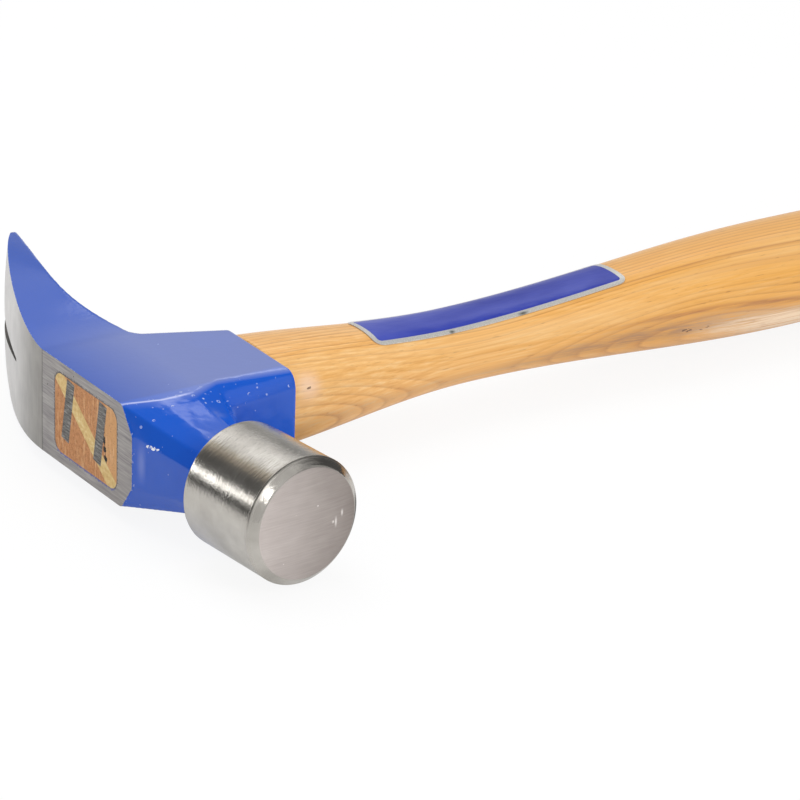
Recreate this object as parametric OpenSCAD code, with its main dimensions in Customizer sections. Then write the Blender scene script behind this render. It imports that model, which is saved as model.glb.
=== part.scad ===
// Framing hammer with a rip claw, lying on its side.
// X runs along the handle from the ground crown of the head to the butt, Y towards the claw,
// Z up out of the upper cheek. The origin is the middle of the eye on the ground crown.

/* [Head block] */
// Thickness of the head from cheek to cheek
cheek_t = 29.3; // [26.8:0.2:34.4]
// Depth of the head along the handle, from the crown to the mouth of the socket
head_d = 50.5; // [44:0.2:57.4]
// Reach of the block from the handle's axis to the poll side
block_poll = 23.6; // [22:0.1:26.8]
// Reach of the block from the handle's axis to the root of the claw
block_claw = 23.5; // [22:0.1:26.8]
// Width of the neck's bevel across the cheek, at the crown
bevel_w = 5.3; // [2.9:0.1:6.7]
// Depth of the neck's bevel across the thickness, at the crown
bevel_d = 7.4; // [3.8:0.1:9.6]
// Reach of the socket from the handle's axis on the claw side
socket_claw = 21; // [20.6:0.1:22.9]
// Reach of the cheek's flat at the socket's mouth, towards the claw
mouth_flat_claw = 10.3; // [7.6:0.1:15.3]
// Reach of the cheek's flat at the socket's mouth, towards the poll
mouth_flat_poll = 18.5; // [14.3:0.1:20.1]
// Reach of the cheek's flat on the claw side, at the hollow
flat_claw = 19.3; // [16:0.1:20]
// Slope of the socket's bevels against the cheek, in degrees
socket_bevel_angle = 38; // [30:1:48]
// Radius of the hollow between the socket and the claw
hollow_r = 7.5; // [4:0.5:9.5]
// Radius of the hollow in the cheek's outline, between the socket and the claw
cheek_hollow_r = 11; // [6:0.5:14]
// Height of the rounded corner at the socket's mouth over a straight bevel
mouth_round = 1.2; // [0:0.1:1.6]

/* [Poll and neck] */
// Diameter of the striking face's outer edge
face_d = 34.9; // [30.6:0.1:38.2]
// Width and depth of the chamfer round the face
face_chamfer = 2.2; // [1:0.1:3.3]
// Height of the face's slight crown
face_crown = 0.7; // [0.3:0.1:1.5]
// Diameter of the poll at its back edge
poll_back_d = 34.3; // [29.6:0.1:38.2]
// Length of the polished poll, from its back edge to the face
poll_len = 29.8; // [23:0.2:36.4]
// Distance from the handle's axis to the edge of the face, along the poll
face_reach = 78; // [70.8:0.2:86]
// Place of the poll's axis along the handle, at the handle's axis
poll_x = 12.8; // [9.6:0.1:16.3]
// Angle by which the poll leans towards the handle, in degrees
poll_lean = 5.1; // [0:0.1:8]
// Depth of the neck's root along the handle
neck_root_d = 29.3; // [27:0.1:33]
// Reach of the cheek's flat over the neck, at its furthest
cheek_reach = 20.9; // [19:0.1:22]
// Reach of the cheek's flat at the back of the neck
cheek_back = 16.9; // [16:0.1:18.4]
// Diameter of the neck at its narrowest
neck_w = 23.5; // [19:0.5:28]
// Radius of the hollow between the neck and the poll
neck_r = 5.9; // [2.8:0.2:7.6]

/* [Claw] */
// Reach of the claw's tips from the handle's axis
claw_reach = 95; // [84:0.5:105]
// Drop of the claw's tips below the crown, along the handle
claw_drop = 30.2; // [21:0.2:38.2]
// Thickness of the claw where it leaves the block
claw_root_t = 26.2; // [23:0.2:28.6]
// Thickness of the claw at its tips
claw_tip_t = 1.5; // [1:0.1:2.9]
// Slope of the claw's outer face where it leaves the block, in degrees
claw_out_root = 4.2; // [0:0.2:12]
// Slope of the claw's outer face at the tips, in degrees
claw_out_tip = 41; // [30:1:46]
// Slope of the claw's inner face where it leaves the block, in degrees
claw_in_root = -14; // [-18:0.5:-8]
// Slope of the claw's inner face at the tips, in degrees
claw_in_tip = 15; // [8:1:20]
// Widening of the claw on each side, where it is widest
claw_flare = 4.3; // [1:0.1:5]
// Height of the rounded back of the claw over its edges
claw_crown = 1.2; // [0.5:0.1:2.4]
// Distance from the handle's axis to the root of the nail slot
slot_root = 50.5; // [42:0.5:60]
// Width of the nail slot at the tips
slot_w = 7.8; // [6:0.2:10.4]
// Radius at the root of the nail slot
slot_r = 0.5; // [0.4:0.1:1.2]

/* [Eye and wedges] */
// Length of the eye at the crown, along the head
eye_l = 32.7; // [28.7:0.1:34.4]
// Width of the eye at the crown, across the cheeks
eye_w = 22.8; // [19.1:0.1:23.3]
// Length of the eye at its waist
eye_waist_l = 30.2; // [26.8:0.1:31.6]
// Width of the eye at its waist
eye_waist_w = 21; // [17.2:0.1:22]
// Depth of the eye's waist below the crown
eye_waist_depth = 23; // [15.5:0.5:32.5]
// Length of the eye at the socket's mouth
mouth_l = 33.3; // [29.6:0.1:34.4]
// Width of the eye at the socket's mouth
mouth_w = 22.9; // [19.1:0.1:23.3]
// Radius of the eye's corners
eye_r = 3.4; // [1.9:0.1:5.7]
// Clearance between the handle's tenon and the eye, on each side
eye_gap = 0.05; // [0.02:0.01:0.2]
// Thickness of the wooden wedge at the crown
wood_wedge_t = 4.6; // [2.9:0.1:5.7]
// Thickness of the wooden wedge at its thin end
wood_wedge_tip_t = 1.4; // [0.8:0.1:2]
// Depth to which the wooden wedge is driven
wood_wedge_depth = 34.5; // [27:0.5:40]
// Depth of the saw kerf in the tenon
kerf_depth = 40; // [34.5:0.5:44]
// Angle of the kerf across the eye, in degrees
kerf_angle = 36.5; // [30:0.5:42]
// Thickness of a steel wedge at the crown
steel_wedge_t = 3.9; // [2.4:0.1:4.8]
// Thickness of a steel wedge at its edge
steel_wedge_tip_t = 0.8; // [0.5:0.1:1.5]
// Width of a steel wedge across the head
steel_wedge_w = 18; // [13.5:0.5:19]
// Depth to which a steel wedge is driven
steel_wedge_depth = 24; // [15.5:0.5:28.5]
// Turn of the steel wedges in the crown, in degrees
steel_wedge_turn = 10; // [0:0.5:12]
// Distance from the handle's axis to the wedge on the claw side
claw_wedge_y = 9.4; // [7.6:0.1:10.2]
// Distance from the handle's axis to the wedge on the face side
face_wedge_y = 7.5; // [6.2:0.1:9.6]
// Shift of the steel wedges towards the upper cheek
wedge_shift = 1.9; // [0:0.1:2.1]
// Clearance between a wedge and the wood, on each side
wedge_gap = 0.04; // [0.02:0.01:0.1]

/* [Handle] */
// Length of the whole hammer, from the crown to the butt
hammer_l = 445; // [400:1:470]
// Gap between the socket's mouth and the handle's shoulder
shoulder_gap = 0.1; // [0.05:0.05:0.5]
// Depth of the handle at its shoulder
shoulder_d = 38.4; // [35.4:0.2:41.2]
// Thickness of the handle at its shoulder
shoulder_t = 28.9; // [25.8:0.2:30.6]
// Place of the handle's waist behind the crown
waist_x = 117; // [96:1:134]
// Depth of the handle at its waist
waist_d = 25.1; // [23:0.2:30.6]
// Thickness of the handle at its waist
waist_t = 19.1; // [17.2:0.2:24.8]
// Place of the grip's swell behind the crown
swell_x = 228; // [206:1:249]
// Depth of the handle at the swell
swell_d = 37.3; // [31.6:0.2:40.2]
// Thickness of the handle at the swell
swell_t = 28.3; // [24:0.2:30.6]
// Place of the grip's slim part behind the crown
grip_x = 352; // [320:1:372]
// Depth of the handle at the grip's slim part
grip_d = 31.5; // [28:0.2:36]
// Thickness of the handle at the grip's slim part
grip_t = 25; // [22:0.2:28]
// Depth of the knob at the butt
knob_d = 40; // [34:0.2:44]
// Thickness of the knob at the butt
knob_t = 31.6; // [27:0.2:34]
// Radius of the butt's rounded edge
butt_r = 7; // [3:0.5:10]
// Squareness of the handle's oval: 2 is an ellipse
oval_power = 2.3; // [2:0.1:3]

/* [Label] */
// Length of the foil label along the handle
label_l = 84; // [57:1:96]
// Width of the label round the handle
label_w = 16.2; // [11.4:0.2:20]
// Place of the label's middle behind the crown
label_x = 128.5; // [105:0.5:143.5]
// Turn of the label against the handle, in degrees
label_turn = 1.6; // [0:0.2:4]
// Radius of the label's corners
label_r = 3; // [1:0.5:6]
// Thickness of the label
label_t = 0.2; // [0.15:0.05:0.4]
// Clearance between the label and the wood
label_gap = 0.14; // [0.12:0.01:0.3]

/* [Hidden] */
half_t = cheek_t / 2;
// Overrun of every cut past the solid that it cuts
over = 1;
// Size of the blocks that cut the bevels
cut_reach = head_d + block_poll + socket_claw;
// Part of a curve's steps that a tangent handle reaches, at the claw's root and tip
out_root_share = 0.3;
out_tip_share = 0.15;
in_root_share = 0.4;
in_tip_share = 0.64;
// Place of the claw's greatest width, from its root to its tips
flare_share = 0.68;
// How late the claw begins to widen: 1 is a sine, more is later
flare_onset = 1.3;
// Fullness of the claw's rounded back: 2 is a parabola across it, more is flatter in the middle
crown_power = 3.2;
// Place along the claw where the hollow behind it begins, and how far up it the cheek's hollow goes
hollow_foot_share = 0.05;
cheek_foot_share = 0.3;
// Place of the rounded corner's middle on the straight bevel
round_share = 0.5;
// Place along the claw where its rounded back begins
rise_share = 0.28;
// Steps along and across the claw
claw_steps = 22;
cross_steps = 12;
// Steps round the handle's oval
oval_steps = 44;
// Steps of each stretch of the handle, and of the butt's rounded edge
stretch_steps = 11;
butt_steps = 6;
// Steps along and round the label
label_steps = 24;
label_cross_steps = 14;
// Steps along the neck
neck_steps = 6;
// Places along the neck's root where the cheek's flat reaches furthest
reach_share = [0.35, 0.67];
// How far each line along the neck is hollowed, from the crown's corner to the back corner
hollow_share = [0, 0, 0.3, 1, 1, 0.5];

// The handle's stretches: place, depth and thickness
stations = [
    [head_d + shoulder_gap, shoulder_d, shoulder_t],
    [waist_x, waist_d, waist_t],
    [swell_x, swell_d, swell_t],
    [grip_x, grip_d, grip_t],
    [hammer_l - butt_r, knob_d, knob_t]
];

function ease(u) = (1 - cos(180 * u)) / 2;
function mix(a, b, u) = a + (b - a) * u;
// A cubic curve from a to b; each end has a slope against Y and a tangent length
function bend(a, slope_a, len_a, b, slope_b, len_b, t) =
    let (p = a + len_a * [sin(slope_a), cos(slope_a)],
         q = b - len_b * [sin(slope_b), cos(slope_b)])
    pow(1 - t, 3) * a + 3 * t * pow(1 - t, 2) * p + 3 * t * t * (1 - t) * q + pow(t, 3) * b;

claw_l = claw_reach - block_claw;
tip_outer = [claw_drop, claw_reach];
tip_inner = tip_outer + claw_tip_t * [cos(claw_out_tip), -sin(claw_out_tip)];
function claw_outer(t) = bend([0, block_claw], claw_out_root, out_root_share * claw_l,
                              tip_outer, claw_out_tip, out_tip_share * claw_l, t);
function claw_inner(t) = bend([claw_root_t, block_claw], claw_in_root, in_root_share * claw_l,
                              tip_inner, claw_in_tip, in_tip_share * claw_l, t);
function claw_half(t) =
    let (u = t / flare_share)
    half_t + claw_flare * (u < 1 ? pow(sin(90 * u), flare_onset) : cos(90 * (u - 1)));
function claw_rise(y, s) =
    let (first = mix(block_claw, claw_reach, rise_share),
         w = max(0, (y - first) / (claw_reach - first)))
    claw_crown * sin(180 * pow(w, 1.5)) * (1 - pow(abs(s), crown_power));

// Faces along a solid whose rings of n points follow each other
function side_faces(rings, n) = concat(
    [for (i = [0 : rings - 2], j = [0 : n - 1])
        [i * n + j, i * n + (j + 1) % n, (i + 1) * n + (j + 1) % n]],
    [for (i = [0 : rings - 2], j = [0 : n - 1])
        [i * n + j, (i + 1) * n + (j + 1) % n, (i + 1) * n + j]]
);
// Both ends closed by one face each
function plain_ends(rings, n) = [
    [for (j = [n - 1 : -1 : 0]) j],
    [for (j = [0 : n - 1]) (rings - 1) * n + j]
];
// Both ends closed by strips between the ring's two halves
function strip_ends(rings, n) = concat(
    [for (j = [0 : n / 2 - 2]) [j + 1, j, n - 1 - j, n - 2 - j]],
    [for (j = [0 : n / 2 - 2], k = [(rings - 1) * n]) [k + j, k + j + 1, k + n - 2 - j, k + n - 1 - j]]
);

// The claw before its slot: rings from the block to the tips, flat inside and rounded outside
module claw_body() {
    ring = 2 * (cross_steps + 1);
    points = [for (i = [0 : claw_steps], j = [0 : ring - 1])
        let (t = i / claw_steps,
             back = j <= cross_steps,
             s = back ? 1 - 2 * j / cross_steps : 2 * (j - cross_steps - 1) / cross_steps - 1,
             p = back ? claw_outer(t) - [claw_rise(claw_outer(t).y, s), 0] : claw_inner(t))
        [p.x, p.y, claw_half(t) * s]];
    polyhedron(points, concat(side_faces(claw_steps + 1, ring), strip_ends(claw_steps + 1, ring)));
}

// The tapered nail slot, with a round root
module nail_slot() {
    reach = claw_reach - slot_root;
    translate([-over - claw_crown, 0, 0])
        rotate([90, 0, 90])
            linear_extrude(claw_drop + claw_root_t)
                union() {
                    translate([slot_root, 0])
                        circle(slot_r, $fn = 24);
                    polygon([[slot_root, slot_r], [slot_root, -slot_r],
                             [slot_root + 2 * reach, -slot_w], [slot_root + 2 * reach, slot_w]]);
                }
}

module claw() {
    difference() {
        claw_body();
        nail_slot();
    }
}

// A block that cuts a sloping bevel off both cheeks, along the line from a to b
module bevel_cut(a, b) {
    for (cheek = [0, 1])
        mirror([0, 0, cheek])
            translate([a.x, a.y, half_t])
                rotate([0, 0, atan2(b.y - a.y, b.x - a.x)])
                    rotate([-socket_bevel_angle, 0, 0])
                        translate([-cut_reach, -cut_reach, 0])
                            cube([2 * cut_reach, 2 * cut_reach, cut_reach]);
}

// Upper half of the socket's section towards the poll: the cheek's flat, a bevel bulged by a
// rounded corner, and the side. Points are Y and Z
function poll_side(flat, bulge) =
    let (low = half_t - (block_poll - flat) * tan(socket_bevel_angle),
         middle = [mix(-flat, -block_poll, round_share), mix(half_t, low, round_share)])
    [[-flat, half_t],
     middle + bulge * [-sin(socket_bevel_angle), cos(socket_bevel_angle)],
     [-block_poll, low - bulge / 2]];

// A thin slab of the socket's section at x, flat towards the claw
module poll_side_slab(x, flat, bulge) {
    upper = poll_side(flat, bulge);
    translate([x, 0, 0])
        rotate([90, 0, 90])
            linear_extrude(over / 10)
                polygon(concat([[cut_reach, half_t]], upper,
                    [for (k = [len(upper) - 1 : -1 : 0]) [upper[k].x, -upper[k].y]],
                    [[cut_reach, -half_t]]));
}

// The socket: a bevelled sleeve down the handle, hollowed towards the claw
module socket() {
    side = [cos(claw_in_root), -sin(claw_in_root)];
    foot = claw_inner(hollow_foot_share);
    centre = [foot.x + hollow_r * side.x, socket_claw + hollow_r];
    // Reach of the cheek's flat where the socket begins, inside the neck
    root_flat = mix(cheek_back, mouth_flat_poll, (neck_w / 2 - neck_root_d) / (head_d - neck_root_d));
    difference() {
        intersection() {
            translate([0, 0, -half_t])
                linear_extrude(cheek_t)
                    difference() {
                        union() {
                            polygon([[neck_w / 2, -block_poll], [head_d, -block_poll],
                                     [head_d, socket_claw], [neck_w / 2, socket_claw]]);
                            translate([neck_w / 2, 0])
                                square([centre.x - neck_w / 2, centre.y]);
                        }
                        translate(centre)
                            circle(hollow_r, $fn = 64);
                    }
            hull() {
                poll_side_slab(neck_w / 2, root_flat, 0);
                poll_side_slab(head_d - over / 10, mouth_flat_poll, mouth_round);
            }
        }
        bevel_cut([neck_root_d, flat_claw], [head_d, mouth_flat_claw]);
    }
}

// Fills the corner of the cheeks' outline between the claw's inner face and the socket's bevel
module cheek_hollow() {
    inner = [for (i = [0 : claw_steps / 2]) claw_inner(cheek_foot_share * (1 - 2 * i / claw_steps))];
    translate([0, 0, -half_t])
        linear_extrude(cheek_t)
            offset(-cheek_hollow_r, $fn = 96)
                offset(cheek_hollow_r, $fn = 96)
                    polygon(concat([[neck_w / 2, 0], [neck_w / 2, inner[0].y]], inner,
                        [[neck_root_d, flat_claw], [head_d, mouth_flat_claw], [head_d, 0]]));
}

// The neck: from the block's bevelled side its ridges sweep in to a nearly round waist
module neck() {
    waist = face_reach - poll_len - neck_r * 2 / 3;
    axis = [sin(poll_lean), -cos(poll_lean)];
    // Upper half of the root: the crown's corner, the cheek's edge and the back corner
    root = [[0, -block_poll, half_t - bevel_d], [0, bevel_w - block_poll, half_t],
            [reach_share[0] * neck_root_d, -cheek_reach, half_t],
            [reach_share[1] * neck_root_d, -cheek_reach, half_t],
            [neck_root_d, -cheek_back, half_t],
            [neck_root_d + bevel_w / 3, bevel_w / 8 - block_poll, half_t - bevel_d]];
    half = len(root);
    // The same ridges at the waist, across the poll's axis
    ends = [for (k = [0 : half - 1])
        let (a = 22.5 + 22.5 * (k < half / 2 ? k : k + 1),
             out = -neck_w / 2 * cos(a))
        [poll_x + axis.x * waist - axis.y * out, axis.y * waist + axis.x * out, neck_w / 2 * sin(a)]];
    upper = concat(
        [[for (r = root) [r.x, -block_poll / 3, r.z]]],
        [for (i = [0 : neck_steps])
            let (t = i / neck_steps)
            [for (k = [0 : half - 1])
                let (e = t + hollow_share[k] * t * (1 - t))
                [mix(root[k].x, ends[k].x, e), mix(root[k].y, ends[k].y, t), mix(root[k].z, ends[k].z, e)]]]);
    polyhedron(
        [for (r = upper, k = [0 : 2 * half - 1])
            k < half ? r[k] : [r[2 * half - 1 - k].x, r[2 * half - 1 - k].y, -r[2 * half - 1 - k].z]],
        concat(side_faces(neck_steps + 2, 2 * half), strip_ends(neck_steps + 2, 2 * half)));
}

// Turns Z to the poll's axis
module poll_place() {
    translate([poll_x, 0, 0])
        rotate([0, 0, poll_lean])
            rotate([90, 0, 0])
                children();
}

// The poll: hollow behind, slightly tapered, chamfered, with a crowned face
module poll() {
    back = face_reach - poll_len;
    face_r = face_d / 2 - face_chamfer;
    dome_r = (face_r * face_r + face_crown * face_crown) / (2 * face_crown);
    poll_place()
        rotate_extrude($fn = 96)
            polygon(concat(
                [[0, back - neck_r]],
                [for (a = [0 : 9 : 90])
                    [poll_back_d / 2 - neck_r * cos(a), back - neck_r * (1 - sin(a))]],
                [[face_d / 2, face_reach - face_chamfer]],
                [for (i = [0 : 6])
                    let (a = asin(face_r / dome_r) * (1 - i / 6))
                    [dome_r * sin(a), face_reach + face_crown - dome_r * (1 - cos(a))]]));
}

// A rounded oblong across the handle, as a thin slab
module eye_slab(x, l, w, r) {
    translate([x, 0, 0])
        rotate([90, 0, 90])
            linear_extrude(over / 10)
                offset(r, $fn = 32)
                    square([l - 2 * r, w - 2 * r], center = true);
}

// The eye's space, wide at both ends and waisted between; grow is added on each side
module eye_space(grow, x0, x1) {
    hull() {
        eye_slab(x0, eye_l + 2 * grow, eye_w + 2 * grow, eye_r + grow);
        eye_slab(eye_waist_depth, eye_waist_l + 2 * grow, eye_waist_w + 2 * grow, eye_r + grow);
    }
    hull() {
        eye_slab(eye_waist_depth, eye_waist_l + 2 * grow, eye_waist_w + 2 * grow, eye_r + grow);
        eye_slab(x1, mouth_l + 2 * grow, mouth_w + 2 * grow, eye_r + grow);
    }
}

// The forged head: block, socket, neck, poll and claw, with the eye through it
module head() {
    color("#3f62c4")
        difference() {
            union() {
                translate([0, 0, -half_t])
                    linear_extrude(cheek_t)
                        polygon([[0, bevel_w - block_poll], [neck_root_d, -cheek_back],
                                 [claw_root_t, block_claw], [0, block_claw]]);
                socket();
                cheek_hollow();
                neck();
                poll();
                claw();
            }
            eye_space(0, -over, head_d + over);
        }
}

// A taper that is thick at the crown, along X, with its width along Z
module taper(thick, tip, depth, wide, grow) {
    slope = (thick - tip) / 2 / depth;
    translate([0, 0, -wide / 2])
        linear_extrude(wide)
            polygon([[-over, thick / 2 + over * slope + grow], [depth + grow, tip / 2 + grow],
                     [depth + grow, -tip / 2 - grow], [-over, -thick / 2 - over * slope - grow]]);
}

// The wooden wedge's slab, corner to corner across the eye
module kerf_slab(grow) {
    rotate([kerf_angle - 90, 0, 0])
        taper(wood_wedge_t, wood_wedge_tip_t, wood_wedge_depth, 2 * eye_l, grow);
}

// A steel wedge at a distance y from the handle's axis
module steel_wedge(y, grow) {
    translate([0, y, wedge_shift])
        rotate([steel_wedge_turn, 0, 0])
            taper(steel_wedge_t, steel_wedge_tip_t, steel_wedge_depth, steel_wedge_w + 2 * grow, grow);
}

// Everything below the plane of the ground crown
module below_crown() {
    translate([0, -cut_reach / 2, -cut_reach / 2])
        cube([hammer_l, cut_reach, cut_reach]);
}

// The wooden wedge, notched by the two steel wedges
module kerf_wedge() {
    color("#dcc088")
        difference() {
            intersection() {
                eye_space(-eye_gap, 0, head_d);
                kerf_slab(-wedge_gap);
                below_crown();
            }
            steel_wedge(claw_wedge_y, wedge_gap);
            steel_wedge(-face_wedge_y, wedge_gap);
        }
}

module claw_side_wedge() {
    color("#8d8b87")
        intersection() {
            steel_wedge(claw_wedge_y, 0);
            below_crown();
        }
}

module face_side_wedge() {
    color("#8d8b87")
        intersection() {
            steel_wedge(-face_wedge_y, 0);
            below_crown();
        }
}

// The first entry of a list, and the stretch of the handle that holds x
function first_of(list) = list[0];
function stretch_at(x) = first_of(concat([for (i = [0 : len(stations) - 2])
    if (x <= stations[i + 1].x) i], [len(stations) - 2]));
// The shoulder falls away at once; every other stretch starts and ends level
function fall(i, u) = i == 0 ? (sin(90 * u) + ease(u)) / 2 : ease(u);
function handle_size(x) =
    let (i = stretch_at(x),
         u = max(0, min(1, (x - stations[i].x) / (stations[i + 1].x - stations[i].x))),
         f = fall(i, u))
    [mix(stations[i].y, stations[i + 1].y, f), mix(stations[i].z, stations[i + 1].z, f)] / 2;
// A point of the handle's oval: a is measured from the upper side towards the claw
function oval(x, a, grow, shrink) =
    let (h = handle_size(x) - [shrink, shrink],
         c = cos(a),
         s = sin(a))
    [x, (h.x + grow) * sign(s) * pow(abs(s), 2 / oval_power),
     (h.y + grow) * sign(c) * pow(abs(c), 2 / oval_power)];

// The handle's body, from its shoulder to the rounded butt
module handle_body() {
    rings = concat(
        [for (i = [0 : len(stations) - 2], j = [0 : stretch_steps - 1])
            [mix(stations[i].x, stations[i + 1].x, j / stretch_steps), 0]],
        [for (j = [0 : butt_steps])
            let (a = 90 * j / butt_steps)
            [hammer_l - butt_r * (1 - sin(a)), butt_r * (1 - cos(a))]]);
    polyhedron(
        [for (r = rings, j = [0 : oval_steps - 1])
            let (p = oval(min(r[0], hammer_l - butt_r), 360 * j / oval_steps, 0, r[1]))
            [r[0], p.y, p.z]],
        concat(side_faces(len(rings), oval_steps), plain_ends(len(rings), oval_steps)));
}

// The hickory handle: body, and a tenon sawn for the wooden wedge and split by the steel ones
module handle() {
    color("#d8a860")
        difference() {
            union() {
                handle_body();
                intersection() {
                    eye_space(-eye_gap, 0, head_d + shoulder_gap);
                    below_crown();
                }
            }
            kerf_slab(0);
            rotate([kerf_angle - 90, 0, 0])
                taper(wood_wedge_tip_t, wood_wedge_tip_t, kerf_depth, 2 * eye_l, 0);
            steel_wedge(claw_wedge_y, wedge_gap);
            steel_wedge(-face_wedge_y, wedge_gap);
        }
}

// A point of the label: u runs along it and v across it, both from -1 to 1
function label_point(u, v, lift) =
    let (x = label_x + u * label_l / 2,
         end = max(0, abs(u) * label_l / 2 - (label_l / 2 - label_r)),
         half = label_w / 2 - label_r + sqrt(max(label_r * label_r - end * end, 0)),
         arc = v * half + u * label_l / 2 * tan(label_turn),
         h = handle_size(x),
         y = h.x * sin(arc / h.x * 180 / PI))
    [x, y, (h.y + lift) * pow(1 - pow(abs(y) / (h.x + lift), oval_power), 1 / oval_power)];

// The foil label, a thin skin round the upper side of the handle
module handle_label() {
    ring = 2 * (label_cross_steps + 1);
    color("#2f52b8")
        polyhedron(
            [for (i = [0 : label_steps], j = [0 : ring - 1])
                let (u = sin(180 * i / label_steps - 90),
                     top = j <= label_cross_steps,
                     v = top ? 1 - 2 * j / label_cross_steps
                             : 2 * (j - label_cross_steps - 1) / label_cross_steps - 1)
                label_point(u, v, label_gap + (top ? label_t : 0))],
            concat(side_faces(label_steps + 1, ring), strip_ends(label_steps + 1, ring)));
}

head();
handle();
kerf_wedge();
claw_side_wedge();
face_side_wedge();
handle_label();
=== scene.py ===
"""Dresses a wood-handled framing hammer for a studio picture: forged and enamelled head, bare poll
and crown, lacquered hickory, steel wedges and a foil label. Lengths are millimetres unless they
say otherwise, and places are in the CAD model's frame."""

import math
from contextlib import contextmanager
from functools import reduce

import bmesh
import bpy
import numpy as np
from mathutils import Matrix, Vector


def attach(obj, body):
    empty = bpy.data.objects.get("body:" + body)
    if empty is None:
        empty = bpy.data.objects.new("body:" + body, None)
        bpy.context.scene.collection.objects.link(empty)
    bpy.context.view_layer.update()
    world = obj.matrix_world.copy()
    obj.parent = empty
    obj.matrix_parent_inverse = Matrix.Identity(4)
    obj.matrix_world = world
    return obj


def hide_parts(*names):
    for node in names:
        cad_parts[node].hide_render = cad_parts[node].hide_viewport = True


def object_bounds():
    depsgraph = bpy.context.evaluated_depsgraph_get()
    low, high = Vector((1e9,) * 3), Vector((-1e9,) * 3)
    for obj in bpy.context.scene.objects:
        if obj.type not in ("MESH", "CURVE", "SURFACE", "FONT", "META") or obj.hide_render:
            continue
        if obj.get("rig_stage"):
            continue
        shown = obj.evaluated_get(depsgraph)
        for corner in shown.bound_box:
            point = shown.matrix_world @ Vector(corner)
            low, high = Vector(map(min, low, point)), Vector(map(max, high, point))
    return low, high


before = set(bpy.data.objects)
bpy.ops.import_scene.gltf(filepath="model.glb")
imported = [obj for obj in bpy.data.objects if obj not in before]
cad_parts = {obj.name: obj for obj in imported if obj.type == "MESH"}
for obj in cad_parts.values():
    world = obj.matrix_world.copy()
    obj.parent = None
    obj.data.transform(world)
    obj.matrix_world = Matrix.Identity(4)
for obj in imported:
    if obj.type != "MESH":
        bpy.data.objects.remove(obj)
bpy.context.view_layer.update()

bl_info = {
    "name": "Framing hammer",
    "version": (1, 0, 0),
    "blender": (4, 5, 0),
    "location": "3D View > Sidebar > Hammer",
    "description": "Builds the visible pieces and finishes of a framing hammer",
    "category": "Object",
}

MM = 0.001

# Forms of the head, as the CAD model has them
HALF_T, HEAD_D = 14.65, 50.5
BLOCK_POLL, BLOCK_CLAW = 23.6, 23.5
BEVEL_W, BEVEL_D = 5.3, 7.4
SOCKET_CLAW, FLAT_CLAW, MOUTH_FLAT_CLAW, MOUTH_FLAT_POLL = 21.0, 19.3, 10.3, 18.5
SOCKET_BEVEL, HOLLOW_R, CHEEK_HOLLOW_R, MOUTH_ROUND = 38.0, 7.5, 11.0, 1.2
NECK_ROOT_D, CHEEK_REACH, CHEEK_BACK, NECK_W, NECK_R = 29.3, 20.9, 16.9, 23.5, 5.9
REACH_SHARE = (0.35, 0.67)
HOLLOW_SHARE = (0, 0, 0.3, 1, 1, 0.5)
POLL_X, POLL_LEAN = 12.8, 5.1
FACE_D, FACE_CHAMFER, FACE_CROWN = 34.9, 2.2, 0.7
POLL_BACK_D, POLL_LEN, FACE_REACH = 34.3, 29.8, 78.0
CLAW_REACH, CLAW_DROP, CLAW_ROOT_T, CLAW_TIP_T = 95.0, 30.2, 26.2, 1.5
CLAW_OUT_ROOT, CLAW_OUT_TIP, CLAW_IN_ROOT, CLAW_IN_TIP = 4.2, 41.0, -14.0, 15.0
OUT_ROOT_SHARE, OUT_TIP_SHARE, IN_ROOT_SHARE, IN_TIP_SHARE = 0.3, 0.15, 0.4, 0.64
CLAW_FLARE, FLARE_SHARE, FLARE_ONSET = 4.3, 0.68, 1.3
CLAW_CROWN, CROWN_POWER, RISE_SHARE = 1.2, 3.2, 0.28
SLOT_ROOT, SLOT_W, SLOT_R = 50.5, 7.8, 0.5
EYE_L, EYE_W, EYE_R = 32.7, 22.8, 3.4
# The eye's sections: depth below the crown, length and width
EYE = np.array([
    [-4.0, EYE_L, EYE_W],
    [-1.0, EYE_L, EYE_W],
    [23.0, 30.2, 21.0],
    [51.5, 33.3, 22.9],
])
# Radius of the forging's edges at the claw and the cheeks, and at the socket's mouth, and how much
# thicker the claw is and how far it runs on before its edges are rounded
CLAW_EDGE, MOUTH_EDGE, CLAW_EXTRA, CLAW_END_SHARE = 0.9, 0.5, 0.4, 1.006
# Metal left on the crown and the claw's back for grinding
ALLOWANCE = 1.6
# How far the polished poll starts in front of its back edge
RIM = 0.35
# The handle's stretches: place behind the crown, depth, thickness
STATIONS = np.array([
    [50.6, 38.4, 28.9],
    [117.0, 25.1, 19.1],
    [228.0, 37.3, 28.3],
    [352.0, 31.5, 25.0],
    [438.0, 40.0, 31.6],
])
HAMMER_L, BUTT_R, OVAL_POWER = 445.0, 7.0, 2.3


# ---- small helpers -------------------------------------------------------------------------


def linear(code):
    """An sRGB hex colour as the linear values that a shader wants."""
    v = np.array([int(code[i:i + 2], 16) for i in (1, 3, 5)]) / 255
    return [float(c) for c in np.where(v <= 0.04045, v / 12.92, ((v + 0.055) / 1.055) ** 2.4)]


def rgba(value):
    """A hex colour, a grey level or three linear values as what a colour socket holds."""
    values = linear(value) if isinstance(value, str) else np.broadcast_to(value, 3)
    return (*(float(v) for v in values), 1.0)


def mix(a, b, t):
    """The value a share t of the way from a to b."""
    return a + (b - a) * t


# The property that a word after a node's kind sets, and signs that stand for a kind and its word
MODES = {"Math": "operation", "VectorMath": "operation", "Mix": "data_type",
         "MapRange": "interpolation_type", "Mapping": "vector_type"}
SIGNS = {"+": "Math ADD", "-": "Math SUBTRACT", "*": "Math MULTIPLY", "*+": "Math MULTIPLY_ADD",
         "<": "Math LESS_THAN", ">": "Math GREATER_THAN"}


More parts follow.
